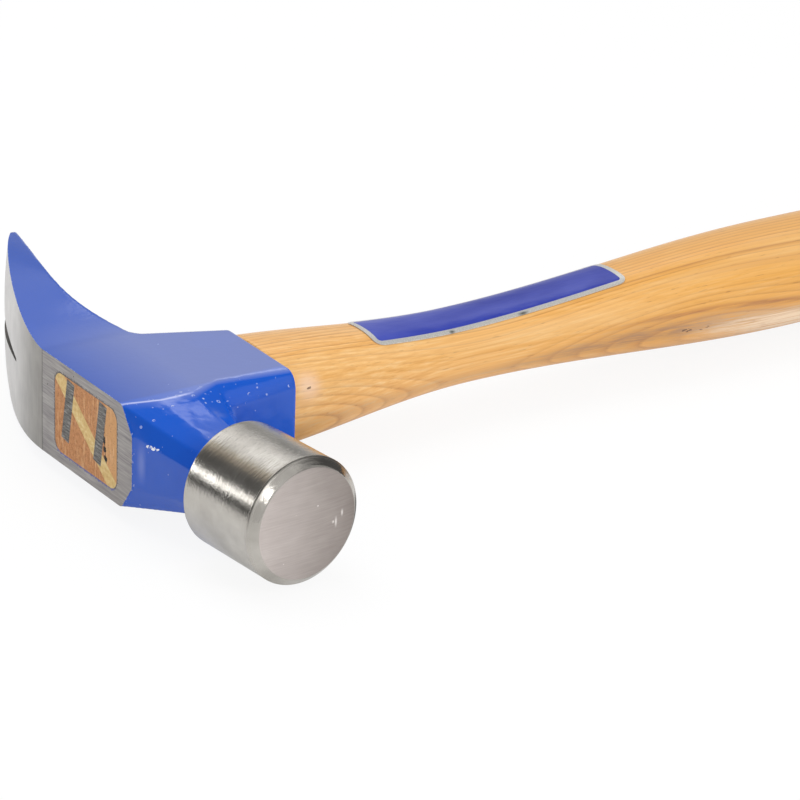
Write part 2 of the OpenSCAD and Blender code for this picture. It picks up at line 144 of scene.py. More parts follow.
def put(tree, kind, *feeds, out=0, stops=(), **settings):
    """Adds a node to a tree and returns one of its outputs. kind may be followed by a word for the
    node's mode, or be a sign, and settings are its other properties. feeds, in the order of the
    inputs in use or in a dict by their names, are outputs, numbers, vectors or colours. stops are a
    colour ramp's places and their colours."""
    kind, *mode = SIGNS.get(kind, kind).split()
    node = tree.nodes.new("ShaderNode" + kind)
    for key, value in {**settings, **({MODES[kind]: mode[0]} if mode else {})}.items():
        setattr(node, key, value)
    inputs = [i for i in node.inputs if i.enabled]
    named = {i.name: i for i in reversed(inputs)}
    pairs = feeds[0].items() if feeds and isinstance(feeds[0], dict) else enumerate(feeds)
    for key, value in pairs:
        entry = named[key] if isinstance(key, str) else inputs[key]
        if isinstance(value, bpy.types.NodeSocket):
            tree.links.new(value, entry)
        else:
            entry.default_value = rgba(value) if entry.type == "RGBA" else value
    for k, (place, value) in enumerate(stops):
        marks = node.color_ramp.elements
        mark = marks[k] if k < 2 else marks.new(place)
        mark.position, mark.color = place, rgba(value)
    if isinstance(out, str):
        return node.outputs[out]
    used = [o for o in node.outputs if o.enabled]
    return used[out] if used else None


def fresh(name, coordinates="Object"):
    """An empty material, its node tree and the coordinates that its patterns lie in."""
    m = bpy.data.materials.new(name)
    m.use_nodes = True
    m.node_tree.nodes.clear()
    return m, m.node_tree, put(m.node_tree, "TexCoord", out=coordinates)


def pattern(t, kind, where, *steps, degrees=(0, 0, 0), unit=MM, out=0, **inputs):
    """A texture whose steps are as long as the given millimetres along X, Y and Z, or all ways if
    there is one, once it is turned by degrees. unit is what a millimetre is in the coordinates."""
    scale = [1 / unit / s for s in steps * (3 // len(steps))]
    placed = put(t, "Mapping", {"Vector": where, "Scale": scale,
                                "Rotation": [math.radians(d) for d in degrees]})
    return put(t, kind, {"Vector": placed, "Scale": 1.0, **inputs}, out=out)


def cells(t, where, *steps):
    """The distance to the nearest of some scattered points, one to a cell of the given millimetres
    and counted in cells, and three levels that each cell has by chance."""
    near = pattern(t, "TexVoronoi", where, *steps, out="Distance")
    return near, put(t, "SeparateColor", near.node.outputs["Color"]).node.outputs


def tinted(t, colour, *layers):
    """A colour under layers, each with its share, its strength if it isn't full, and its colour."""
    for share, *strength, code in layers:
        for s in strength:
            share = put(t, "*", share, s)
        colour = put(t, "Mix RGBA", share, colour, code)
    return colour


def band(t, value, centre, half):
    """A level that is 1 where a value is at a centre and falls softly to 0 at half a width off."""
    off = put(t, "Math ABSOLUTE", put(t, "-", value, centre))
    return put(t, "MapRange SMOOTHSTEP", off, 0.0, half, 1.0, 0.0)


def spot(t, a, b):
    """A level that is 1 in the middle of a spot, for two values with their centres and half
    widths."""
    return put(t, "*", band(t, *a), band(t, *b))


def oblong_distance(t, a, b, half_a, half_b, radius):
    """How far a place (a, b) lies outside an oblong with rounded corners, below 0 inside it."""
    over = [put(t, "-", put(t, "Math ABSOLUTE", v), half - radius)
            for v, half in ((a, half_a), (b, half_b))]
    past = put(t, "CombineXYZ", *(put(t, "Math MAXIMUM", v, 0.0) for v in over))
    corner = put(t, "VectorMath LENGTH", past, out="Value")
    inside = put(t, "Math MINIMUM", put(t, "Math MAXIMUM", *over), 0.0)
    return put(t, "-", put(t, "+", corner, inside), radius)


def added(name, data):
    """A new object in the scene for a mesh, a lamp or a camera."""
    o = bpy.data.objects.new(name, data)
    bpy.context.scene.collection.objects.link(o)
    return o


def piece(name, points, faces, materials, uv=None):
    """A mesh object at the origin from points in millimetres and faces; uv is a pair a point, or a
    pair a corner."""
    mesh = bpy.data.meshes.new(name)
    mesh.from_pydata((np.asarray(points) * MM).tolist(), [], [list(f) for f in faces])
    if uv is not None:
        uv = np.asarray(uv, np.float32)
        if len(uv) == len(points):
            corner = np.zeros(len(mesh.loops), np.int32)
            mesh.loops.foreach_get("vertex_index", corner)
            uv = uv[corner]
        mesh.uv_layers.new(name="UVMap").data.foreach_set("uv", uv.ravel())
    mesh.polygons.foreach_set("use_smooth", [True] * len(mesh.polygons))
    for m in materials:
        mesh.materials.append(m)
    mesh.update()
    return added(name, mesh)


def grid_faces(rows, cols, round_cols=False):
    """Quads of a grid of rows by cols points; round_cols joins the last column to the first."""
    last = cols if round_cols else cols - 1
    i, j = np.meshgrid(np.arange(rows - 1), np.arange(last), indexing="ij")
    a, b = i * cols + j, i * cols + (j + 1) % cols
    return np.stack([a, b, b + cols, a + cols], -1).reshape(-1, 4)


def rim_of(rows, cols):
    """The points round a grid of rows by cols, in order."""
    last = (rows - 1) * cols
    return np.concatenate([
        np.arange(cols - 1), np.arange(rows - 1) * cols + cols - 1,
        last + np.arange(cols - 1, 0, -1), np.arange(rows - 1, 0, -1) * cols])


def plate_faces(rows, cols):
    """Faces of a plate between two grids, the upper one first, with the wall round them."""
    n, quads, rim = rows * cols, grid_faces(rows, cols), rim_of(rows, cols)
    after = np.roll(rim, -1)
    return np.vstack([quads, quads[:, ::-1] + n, np.stack([rim, rim + n, after + n, after], -1)])


def ringed(rings):
    """Points and faces of a solid whose rings follow each other. Each end is closed by a fan of
    triangles to the middle of its ring."""
    rows, cols = rings.shape[:2]
    n, j = rows * cols, np.arange(cols)
    k = (j + 1) % cols
    points = np.vstack([rings.reshape(-1, 3), rings[0].mean(0), rings[-1].mean(0)])
    ends = np.vstack([np.stack([np.full(cols, n), k, j], -1),
                      np.stack([np.full(cols, n + 1), n - cols + j, n - cols + k], -1)])
    return points, grid_faces(rows, cols, True).tolist() + ends.tolist()


def joined(*solids):
    """Points and faces of several solids in one list."""
    start = np.cumsum([0] + [len(p) for p, f in solids])
    faces = [[i + s for i in face] for (p, f), s in zip(solids, start) for face in f]
    return np.vstack([p for p, f in solids]), faces


@contextmanager
def editing(mesh):
    """Opens a mesh for edits and writes them back into it."""
    b = bmesh.new()
    b.from_mesh(mesh)
    yield b
    b.to_mesh(mesh)
    b.free()


def outward(o):
    """Recalculates the faces of a closed mesh so that they point outwards."""
    with editing(o.data) as b:
        bmesh.ops.recalc_face_normals(b, faces=b.faces)
    return o


def cut_off(o, place, direction):
    """Takes away the part of a closed mesh past a plane, and closes the cut. place is in metres."""
    with editing(o.data) as b:
        cut = bmesh.ops.bisect_plane(b, geom=b.verts[:] + b.edges[:] + b.faces[:], dist=1e-7,
                                     plane_co=place, plane_no=direction, clear_outer=True)
        rim = [e for e in cut["geom_cut"] if isinstance(e, bmesh.types.BMEdge)]
        bmesh.ops.contextual_create(b, geom=rim)


def rows_of(items, key):
    """A vector that each vertex or face of a mesh has, such as its place, in millimetres."""
    values = np.zeros(len(items) * 3)
    items.foreach_get(key, values)
    return values.reshape(-1, 3) / MM


def baked(o):
    """Gives an object the result of its modifiers as its mesh."""
    bpy.context.view_layer.update()
    mesh = bpy.data.meshes.new_from_object(o.evaluated_get(bpy.context.evaluated_depsgraph_get()))
    old, mesh.name = o.data, o.name
    o.modifiers.clear()
    o.data = mesh
    bpy.data.meshes.remove(old)


def finished(o, node):
    """Lets a piece ride on the hammer's one body and stand for its CAD node."""
    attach(o, "root")
    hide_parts(node)


# ---- forms shared by the pieces ------------------------------------------------------------


def bend(a, slope_a, len_a, b, slope_b, len_b, t):
    """Points x, y of a cubic curve from a to b at shares t: at each end it has a slope against Y
    and a tangent of a set length."""
    ends = [np.array([math.sin(s), math.cos(s)]) for s in map(math.radians, (slope_a, slope_b))]
    a, b, t = np.array(a), np.array(b), np.asarray(t)[..., None]
    p, q = a + len_a * ends[0], b - len_b * ends[1]
    return (1 - t) ** 3 * a + 3 * t * (1 - t) ** 2 * p + 3 * t * t * (1 - t) * q + t ** 3 * b


def claw_outer(t):
    """The claw's outer line in the head's mid-plane, from the crown's edge to the tips."""
    length = CLAW_REACH - BLOCK_CLAW
    return bend([0, BLOCK_CLAW], CLAW_OUT_ROOT, OUT_ROOT_SHARE * length,
                [CLAW_DROP, CLAW_REACH], CLAW_OUT_TIP, OUT_TIP_SHARE * length, t)


def claw_inner(t):
    """The claw's inner line, from the block to the tips' thickness off the outer line's end."""
    length, lean = CLAW_REACH - BLOCK_CLAW, math.radians(CLAW_OUT_TIP)
    tip = [CLAW_DROP + CLAW_TIP_T * math.cos(lean), CLAW_REACH - CLAW_TIP_T * math.sin(lean)]
    return bend([CLAW_ROOT_T, BLOCK_CLAW], CLAW_IN_ROOT, IN_ROOT_SHARE * length,
                tip, CLAW_IN_TIP, IN_TIP_SHARE * length, t)


def claw_half(t):
    """Half the claw's width: it swells as a late sine to its widest, then narrows as a cosine."""
    u, widest = np.pi / 2 * np.asarray(t) / FLARE_SHARE, np.pi / 2
    rise = np.sin(np.minimum(u, widest)) ** FLARE_ONSET
    swell = np.where(u < widest, rise, np.cos(u - widest))
    return HALF_T + CLAW_FLARE * swell


def ground_surface(y, z):
    """Height x of the bare ground back of the head over y and z: the flat crown up to the claw's
    root, then the claw's outer line, raised across by a low crown that fades at both ends."""
    t = np.linspace(0, 1, 400)
    line = claw_outer(t)
    x = np.where(y < BLOCK_CLAW, 0, np.interp(y, line[:, 1], line[:, 0]))
    x = x + np.maximum(0, y - CLAW_REACH) * math.tan(math.radians(CLAW_OUT_TIP))
    across = np.clip(np.abs(z) / claw_half(np.interp(y, line[:, 1], t)), 0, 1)
    first = mix(BLOCK_CLAW, CLAW_REACH, RISE_SHARE)
    w = np.clip((y - first) / (CLAW_REACH - first), 0, 1)
    return x - CLAW_CROWN * np.sin(np.pi * w ** 1.5) * (1 - across ** CROWN_POWER)


def poll_frame():
    """The poll's axis: a point on it, its direction to the face, and a direction across it."""
    lean = math.radians(POLL_LEAN)
    return (np.array([POLL_X, 0, 0]), np.array([math.sin(lean), -math.cos(lean), 0]),
            np.array([math.cos(lean), math.sin(lean), 0]))


def turned_rings(profile, steps):
    """Rings of a turned form: each profile point (place along the poll's axis, radius) is carried
    round that axis."""
    point, axis, side = poll_frame()
    a = np.arange(steps) * 2 * np.pi / steps
    ring = np.cos(a)[:, None] * side + np.sin(a)[:, None] * np.cross(axis, side)
    s, r = np.array(profile, float).T
    return point + s[:, None, None] * axis + r[:, None, None] * ring


def bar(back, front, half, rounding):
    """Rings of a bar: each section is a rectangle from a back to a front point and from -half to
    half across. Its two front corners are rounded by quarter circles, of the given radius where a
    share of the section's length allows it."""
    span, most = front - back, 0.45
    length = np.linalg.norm(span, axis=1)[:, None]
    half = np.broadcast_to(half, len(back))[:, None]
    r = np.minimum(rounding, most * length)
    a = np.radians(np.linspace(0, 90, 7))
    along = np.hstack([0 * length, length - r * (1 - np.sin(a))])
    up = np.hstack([half, half - r * (1 - np.cos(a))])
    along, up = np.hstack([along, along[:, ::-1]]), np.hstack([up, -up[:, ::-1]])
    flat = back[:, None] + (along / length)[..., None] * span[:, None]
    return np.dstack([flat, up])


def block_form():
    """The block under the crown, from inside the neck to the claw's root, with metal left to
    grind."""
    y = np.array([-BLOCK_POLL / 3, BLOCK_CLAW + 0.5])
    x = np.array([NECK_ROOT_D, CLAW_ROOT_T]) - 2
    return ringed(bar(np.stack([np.full(2, -ALLOWANCE), y], -1), np.stack([x, y], -1), HALF_T, 0.5))


def crown_form():
    """The metal left to grind on the crown: its outline drawn out along -X."""
    y = np.array([-BLOCK_POLL, BEVEL_W - BLOCK_POLL, BLOCK_CLAW])
    z = np.array([HALF_T - BEVEL_D, HALF_T, HALF_T])
    y, z = np.append(y, y[::-1]), np.append(z, -z[::-1])
    return ringed(np.stack([np.stack([np.full(6, x), y, z], -1) for x in (-ALLOWANCE, 0.6)]))


def claw_form():
    """The claw: a bar between its inner line and its outer line, drawn out along -X to be ground,
    a little thicker and longer for what the softening takes off."""
    t = np.linspace(0, CLAW_END_SHARE, 90)
    return ringed(bar(claw_outer(t) - [ALLOWANCE, 0], claw_inner(t) + [CLAW_EXTRA, 0],
                      claw_half(t), CLAW_EDGE))


def socket_form():
    """The socket, in sections down the handle. Towards the poll the upper half runs from the side
    over a bulged bevel to the cheek's flat. Towards the claw a sloping bevel falls from the flat to
    a wall, which sweeps out into the claw as a quarter circle. The mouth's edge is rounded."""
    x0 = NECK_W / 2
    edge = np.radians(np.linspace(0, 90, 6))[1:]
    x = np.concatenate([np.linspace(x0, HEAD_D - MOUTH_EDGE, 70),
                        HEAD_D - MOUTH_EDGE * (1 - np.sin(edge))])
    inset = np.concatenate([np.zeros(70), MOUTH_EDGE * (1 - np.cos(edge))])
    u = (x - x0) / (HEAD_D - x0)
    root_flat = mix(CHEEK_BACK, MOUTH_FLAT_POLL, (x0 - NECK_ROOT_D) / (HEAD_D - NECK_ROOT_D))
    flat, bulge = mix(root_flat, MOUTH_FLAT_POLL, u), MOUTH_ROUND * u
    lean = math.radians(SOCKET_BEVEL)
    low = HALF_T - (BLOCK_POLL - flat) * math.tan(lean) - bulge / 2
    s = np.linspace(1, 0, 9)
    swell = 1.3 * bulge[:, None] * 4 * s * (1 - s)
    y_poll = mix(-flat[:, None], -BLOCK_POLL, s) - swell * math.sin(lean)
    z_poll = mix(HALF_T, low[:, None], s) + swell * math.cos(lean)
    # The claw's side: where the flat ends, and the wall with its hollow
    fall = (FLAT_CLAW - MOUTH_FLAT_CLAW) / (HEAD_D - NECK_ROOT_D)
    ends = FLAT_CLAW + (NECK_ROOT_D - x) * fall
    root = math.radians(CLAW_IN_ROOT)
    centre = claw_inner(0.05)[0] + HOLLOW_R * math.cos(root)
    sweep = np.sqrt(np.clip(HOLLOW_R ** 2 - np.minimum(x - centre, 0) ** 2, 0, None))
    wall = SOCKET_CLAW + HOLLOW_R - sweep
    down = HALF_T - np.maximum(0, wall - ends) * math.cos(math.atan(fall)) * math.tan(lean)
    y = np.hstack([y_poll, np.minimum(ends, wall - 0.05)[:, None], wall[:, None]])
    z = np.hstack([z_poll, np.full((len(x), 1), HALF_T), down[:, None]])
    y = y * (1 - inset / BLOCK_POLL)[:, None]
    z = z * (1 - inset / HALF_T)[:, None]
    y, z = np.hstack([y, y[:, ::-1]]), np.hstack([z, -z[:, ::-1]])
    return ringed(np.dstack([np.broadcast_to(x[:, None], y.shape), y, z]))


def cheek_hollow_form():
    """The round hollow in the cheeks' outline between claw and socket: a bar along the arc of a
    circle that touches the claw's inner line and the edge of the socket's flat."""
    a, b, depth = np.array([NECK_ROOT_D, FLAT_CLAW]), np.array([HEAD_D, MOUTH_FLAT_CLAW]), 6
    along = (b - a) / np.linalg.norm(b - a)
    # Circles along the flat's edge, of which the one that touches the claw's line is kept
    s = np.linspace(-5, 20, 800)
    centres = a + s[:, None] * along + CHEEK_HOLLOW_R * np.array([-along[1], along[0]])
    line = claw_inner(np.linspace(0, 0.5, 600))
    gap = np.linalg.norm(centres[:, None] - line[None], axis=-1)
    k = np.argmin(np.abs(gap.min(1) - CHEEK_HOLLOW_R))
    c, touch = centres[k], [a + s[k] * along, line[gap[k].argmin()]]
    ends = [math.atan2(p[1] - c[1], p[0] - c[0]) % (2 * math.pi) for p in touch]
    turn_to = np.linspace(*ends, 40)
    out = np.stack([np.cos(turn_to), np.sin(turn_to)], -1)
    back, front = c + (CHEEK_HOLLOW_R + depth) * out, c + CHEEK_HOLLOW_R * out
    return ringed(bar(back, front, HALF_T, CLAW_EDGE))


def neck_form():
    """The neck: six lines over each half run from the block's bevelled side to a nearly round waist
    across the poll's axis. A line's share e of the way is t plus its hollow times t(1 - t)."""
    point, axis, side = poll_frame()
    waist = FACE_REACH - POLL_LEN - NECK_R * 2 / 3
    root = np.array([[0, -BLOCK_POLL, HALF_T - BEVEL_D], [0, BEVEL_W - BLOCK_POLL, HALF_T],
                     [REACH_SHARE[0] * NECK_ROOT_D, -CHEEK_REACH, HALF_T],
                     [REACH_SHARE[1] * NECK_ROOT_D, -CHEEK_REACH, HALF_T],
                     [NECK_ROOT_D, -CHEEK_BACK, HALF_T],
                     [NECK_ROOT_D + BEVEL_W / 3, BEVEL_W / 8 - BLOCK_POLL, HALF_T - BEVEL_D]])
    a = np.radians([22.5, 45, 67.5, 112.5, 135, 157.5])
    end = point + waist * axis - NECK_W / 2 * np.cos(a)[:, None] * side
    end[:, 2] = NECK_W / 2 * np.sin(a)
    t = np.linspace(0, 1, 25)[:, None]
    e = t + np.array(HOLLOW_SHARE) * t * (1 - t)
    upper = np.stack([mix(root[:, k], end[:, k], s) for k, s in enumerate((e, t, e))], -1)
    first = root.copy()
    first[:, 1] = -BLOCK_POLL / 3
    upper = np.concatenate([first[None], upper])
    return ringed(np.concatenate([upper, upper[:, ::-1] * [1, 1, -1]], 1))


def cove_form():
    """The poll's back: a quarter hollow round the neck, and a short length of the poll. One of its
    flat ends lies inside the neck, and the other is cut off again for the polished poll."""
    back, r, length, steps = FACE_REACH - POLL_LEN, POLL_BACK_D / 2, 2, 120
    a = np.radians(np.linspace(0, 90, 14))
    cove = list(zip(back - NECK_R * (1 - np.sin(a)), r - NECK_R * np.cos(a)))
    ends = (back - NECK_R, 6), (back + length, 8)
    return ringed(turned_rings([ends[0], *cove, (back + length, r), ends[1]], steps))


def handle_size(x):
    """Half depth and half thickness of the handle at places x: the shoulder falls away at once,
    and every later stretch eases from one station to the next."""
    i = np.clip(np.searchsorted(STATIONS[:, 0], x, side="left") - 1, 0, len(STATIONS) - 2)
    u = np.clip((x - STATIONS[i, 0]) / (STATIONS[i + 1, 0] - STATIONS[i, 0]), 0, 1)
    ease = (1 - np.cos(np.pi * u)) / 2
    f = np.where(i == 0, (np.sin(np.pi * u / 2) + ease) / 2, ease)
    return [mix(STATIONS[i, k], STATIONS[i + 1, k], f) / 2 for k in (1, 2)]


# ---- materials -----------------------------------------------------------------------------
# Places in the materials are metres on the hammer's axes, and on the label millimetres, as in the
# coordinates that they are read from. A MapRange's numbers are the value's range and the levels at
# its two ends, 0 and 1 if they are left out


def blue_enamel(look):
    """Glossy blue enamel over a forging: thick and wavy where it sagged on the neck, with dust and
    burst bubbles in it there, a pale sheen painted on the upper cheek, painted glints and
    highlights on the neck, and chipped to steel along its cut edges."""
    m, t, where = fresh("blue_enamel_on_forged_steel")
    xyz = put(t, "SeparateXYZ", where).node.outputs
    # The paint is thicker and thinner in patches 12 mm across, and thicker, so more vivid, outside
    # the cheek's flat towards the poll
    patch = pattern(t, "TexNoise", where, 12, Detail=3.0)
    neck = put(t, "MapRange SMOOTHSTEP", xyz["Y"], -0.0165, -0.0185)
    thick = put(t, "+", neck, put(t, "MapRange", patch, 0.35, 0.65, -0.12, 0.12), use_clamp=True)
    colour = put(t, "Mix RGBA", thick, look.enamel, look.enamel_deep)
    # A pale haze painted on the upper cheek's flat, as its gloss would mirror, more towards the
    # socket, and less on the claw
    dull = put(t, "*", put(t, "MapRange", xyz["X"], -0.006, 0.024, 0.0, 0.2),
               put(t, "MapRange", xyz["Z"], 0.0138, 0.0145))
    dull = put(t, "*", dull, put(t, "MapRange", xyz["Y"], 0.02, 0.036, 1.0, 0.0))
    # Dust in the paint: grains 0.2 to 0.5 mm wide in some of the cells of 1.9 mm, in most of them
    # along the ridge between the neck and the cheek. They stand up in the bump, and their pale
    # colour is a painted glint
    cell, chance = cells(t, where, 1.9)
    ridge = put(t, "*", band(t, xyz["Y"], -0.0232, 0.0065),
                put(t, "MapRange", xyz["Z"], 0.0085, 0.0115, 0.0, 0.4))
    rare = put(t, "-", put(t, "MapRange", neck, 0.0, 1.0, 0.985, 0.7), ridge)
    width = put(t, "MapRange", chance["Green"], 0.0, 1.0, 0.05, 0.14)
    grain = put(t, "*", put(t, "<", cell, width), put(t, ">", chance["Red"], rare))
    # Chips along the edges where the paint was ground through with the steel, up to 0.5 mm deep
    rough = pattern(t, "TexNoise", where, 0.9)
    chip = put(t, "<", put(t, "Attribute", out="Fac", attribute_name="ground_depth"),
               put(t, "MapRange", rough, 0.56, 0.76, 0.0, 0.5))
    # The socket's end edge is chipped dark over 0.9 mm, low on its side towards the poll
    end = put(t, ">", xyz["X"], (HEAD_D - 0.9) * MM)
    dark = put(t, "*", put(t, ">", rough, 0.6), end)
    low = put(t, "MapRange", xyz["Z"], 0.004, 0.0)
    dark = put(t, "*", dark, put(t, "*", low, neck))
    # Bubbles up to 1.2 mm wide, burst into broken rings, where the paint gathered on that ridge.
    # The rings stand up in the bump, and their pale colour is a painted glint
    peel = pattern(t, "TexNoise", where, 1.4, Detail=1.0)
    foam, froth = cells(t, where, 2.2)
    rare = put(t, "-", 1.0, put(t, "*", ridge, 1.9))
    radius = put(t, "MapRange", froth["Green"], 0.0, 1.0, 0.1, 0.27)
    dome = put(t, "*", band(t, foam, radius, 0.08), put(t, ">", froth["Red"], rare))
    dome = put(t, "*", dome, put(t, "MapRange", peel, 0.42, 0.56))
    # Along the ridge, near the crown, a pale line 0.6 mm wide is painted: the highlight that the
    # ridge's rounded edge would catch
    line = put(t, "*+", put(t, "Math MINIMUM", xyz["X"], 0.0103), -0.2524, -0.0184)
    line = put(t, "-", xyz["Y"], line)
    fade = put(t, "*", put(t, "MapRange", xyz["X"], 0.016, 0.02, 0.75, 0.0),
               put(t, "MapRange", xyz["Z"], 0.0125, 0.0135))
    line = put(t, "*", band(t, line, -0.0002, 0.0006), fade)
    # Below, on the facet towards the crown, a run lets the primer show
    run = spot(t, (xyz["Y"], -0.0272, 0.002), (xyz["Z"], 0.0008, 0.0075))
    # Glints painted near white, in a short row above the neck's side ridge, as beads of paint
    # would catch the lamp
    row = spot(t, (xyz["Y"], -0.0312, 0.0055), (xyz["Z"], 0.0064, 0.0011))
    painted_glint = put(t, "MapRange", pattern(t, "TexNoise", where, 0.8), 0.42, 0.58)
    painted_glint = put(t, ">", put(t, "*", painted_glint, row), 0.52)
    # The cheek's haze, the pale colour of the grains and bubbles, the ridge's line and the glints
    # are painted reflection and highlights
    colour = tinted(t, colour, (dull, "#e6e6e2"), (grain, 0.5, "#a9bdf0"), (chip, 0.5, "#a9b6e0"),
                    (dark, "#1c2440"), (dome, 0.8, "#c8d4f8"), (line, "#bfc7ee"),
                    (run, 0.3, "#a9b4e6"), (painted_glint, "#f4f7ff"))
    # The skin: an orange peel of 1.4 mm, grains and rings that stand out, and sags of 5 mm
    height = put(t, "*+", peel, 0.05, put(t, "*", grain, 0.2))
    height = put(t, "*+", dome, 0.15, height)
    sag = put(t, "*", pattern(t, "TexNoise", where, 5, 5, 7, Detail=1.0),
              put(t, "MapRange", neck, 0.0, 1.0, 0.06, 0.4))
    height = put(t, "+", height, sag)
    bump = put(t, "Bump", {"Height": height, "Strength": look.ripple, "Distance": 0.001})
    put(t, "OutputMaterial", put(t, "BsdfPrincipled", {
        "Base Color": colour, "Roughness": 0.18, "IOR": 1.5, "Normal": bump,
        "Coat Weight": 0.15, "Coat Roughness": 0.04, "Coat IOR": 1.5, "Coat Normal": bump}))
    return m


def ground_steel():
    """Carbon steel ground flat on a coarse belt: dull mid grey, with straight lines along the head
    that each catch the light a little differently, and a dark seam round the eye."""
    m, t, where = fresh("belt_ground_carbon_steel")
    xyz = put(t, "SeparateXYZ", where).node.outputs
    # Belt lines 0.45 mm apart (finer on the real one), 12 mm long, along the head
    lines = pattern(t, "TexNoise", where, 4, 12, 0.45, degrees=(3, 0, 0), Detail=3.0, Roughness=0.7)
    both = put(t, "Mix", 0.3, lines, pattern(t, "TexNoise", where, 6, 16, 2.2, degrees=(3, 0, 0)))
    colour = put(t, "ValToRGB", both, stops=((0.3, "#78757a"), (0.5, "#a29e9c"), (0.7, "#c4c0bd")))
    # A dark line, 0.6 mm wide, where the crown turns into the claw
    seam = band(t, xyz["Y"], 0.0233, 0.0006)
    # Grime in the joint round the eye, up to 0.8 mm wide and ragged, with a trace of blue below it
    out = oblong_distance(t, xyz["Y"], xyz["Z"], EYE_L / 2 * MM, EYE_W / 2 * MM, EYE_R * MM)
    ragged = pattern(t, "TexNoise", where, 0.8)
    grime = put(t, "<", out, put(t, "MapRange", ragged, 0.35, 0.7, 0.0001, 0.0008))
    blue = put(t, "MapRange", xyz["Z"], -0.0105, -0.0112)
    dirt = put(t, "Mix RGBA", blue, "#4a3f36", "#3c4fb0")
    # A few pits 0.5 mm wide
    pit = put(t, "<", pattern(t, "TexVoronoi", where, 5, out="Distance"), 0.05)
    colour = tinted(t, colour, (seam, 0.55, "#55524f"), (grime, 0.6, dirt), (pit, 0.7, "#3d3a38"))
    bump = put(t, "Bump", {"Height": both, "Strength": 0.5, "Distance": 0.0001})
    put(t, "OutputMaterial", put(t, "BsdfPrincipled", {
        "Base Color": colour, "Metallic": 1.0, "Normal": bump,
        "Roughness": put(t, "MapRange", lines, 0.3, 0.7, 0.4, 0.52)}))
    return m


def satin_steel():
    """Carbon steel finished on a fine belt: even and pale, with painted shade that darkens it at
    the claw's root and leaves it paler towards the tips, and faint lines across the claw."""
    m, t, where = fresh("satin_carbon_steel")
    # Lines 0.5 mm apart (finer on the real one) across the claw, and clouds of 8 mm
    lines = pattern(t, "TexNoise", where, 0.5, 0.5, 9, Detail=3.0)
    both = put(t, "Mix", 0.6, lines, pattern(t, "TexNoise", where, 8, Detail=4.0))
    # Painted light and shade: darker at the claw's root, paler towards the tips
    painted_light_to_tips = put(t, "MapRange SMOOTHSTEP", put(t, "SeparateXYZ", where, out="Y"), 0.0235, 0.058)
    dull = put(t, "ValToRGB", both, stops=((0.3, "#84817d"), (0.7, "#aaa7a2")))
    pale = put(t, "ValToRGB", both, stops=((0.3, "#c6c4c3"), (0.7, "#e8e6e4")))
    bump = put(t, "Bump", {"Height": lines, "Strength": 0.25, "Distance": 0.00005})
    put(t, "OutputMaterial", put(t, "BsdfPrincipled", {
        "Base Color": tinted(t, dull, (painted_light_to_tips, pale)), "Metallic": 1.0, "Normal": bump,
        "Roughness": put(t, "MapRange", both, 0.3, 0.7, 0.36, 0.46)}))
    return m


def forge_scale():
    """Walls that no belt reaches, in the slot and the eye: dark scale from the forge, nearly matt,
    in flakes of 2.5 mm."""
    m, t, where = fresh("forge_scale_on_steel")
    flake = pattern(t, "TexNoise", where, 2.5, Detail=4.0)
    bump = put(t, "Bump", {"Height": flake, "Strength": 0.5, "Distance": 0.0002})
    put(t, "OutputMaterial", put(t, "BsdfPrincipled", {
        "Base Color": put(t, "ValToRGB", flake, stops=((0.35, "#5d5957"), (0.65, "#86817e"))),
        "Metallic": 0.6, "Roughness": 0.62, "Normal": bump}))
    return m


def on_poll(t, where):
    """A place on the poll's own axes: X across it, towards the handle, and Y along it, away from
    the face."""
    return put(t, "Mapping TEXTURE", where, [float(v) * MM for v in poll_frame()[0]],
               [0, 0, math.radians(POLL_LEAN)])


def polished_steel():
    """Hardened steel polished on a wheel: bright, with a fine grain that frays the edges of what it
    mirrors, small pits, and a few scratches from handling."""
    m, t, where = fresh("polished_hardened_steel")
    own = on_poll(t, where)
    side = put(t, "SeparateXYZ", own).node.outputs
    # Polishing strokes 0.5 mm apart along the poll (finer on the real one), 2.6 mm long round it
    grain = pattern(t, "TexNoise", own, 2.6, 0.5, 2.6, Detail=3.0, Roughness=0.65)
    wave = pattern(t, "TexNoise", own, 5, 9, 5)
    smear = pattern(t, "TexNoise", own, 7, 10, 7, Detail=5.0)
    colour = put(t, "ValToRGB", smear, stops=((0.3, "#b0aca5"), (0.65, "#c4c0b9")))
    # Pits 0.3 mm wide in a quarter of the cells of 2.4 mm
    cell, chance = cells(t, where, 2.4)
    pit = put(t, "*", put(t, "<", cell, 0.07), put(t, ">", chance["Red"], 0.75))
    # Scuffs: strokes of 0.5 mm in one patch on the crown's side
    patch = spot(t, (side["Y"], -0.0645, 0.0045), (side["Z"], 0.0068, 0.003))
    patch = put(t, "*", patch, put(t, "<", side["X"], 0.0))
    stroke = pattern(t, "TexNoise", own, 9, 0.5, 1.6, degrees=(35, 0, 0), Detail=1.0)
    scuff = put(t, ">", put(t, "*", stroke, patch), 0.5)
    height = put(t, "*+", grain, 0.55, put(t, "*", wave, 0.3))
    height = put(t, "*+", scuff, 0.5, height)
    bump = put(t, "Bump", {"Height": height, "Strength": 1.0, "Distance": 0.00016})
    # The chamfer's outer edge is worn dull by the bench
    edge = band(t, side["Y"], (FACE_CHAMFER - FACE_REACH) * MM, 0.0011)
    wear_and_painted_shade = put(t, "Math MAXIMUM", put(t, "*", edge, 0.7), scuff)
    polish = put(t, "MapRange", grain, 0.3, 0.7, 0.11, 0.17)
    put(t, "OutputMaterial", put(t, "BsdfPrincipled", {
        "Base Color": tinted(t, colour, (pit, 0.45, "#6b6660")), "Metallic": 1.0, "Normal": bump,
        "Roughness": put(t, "*+", wear_and_painted_shade, 0.3, polish)}))
    return m


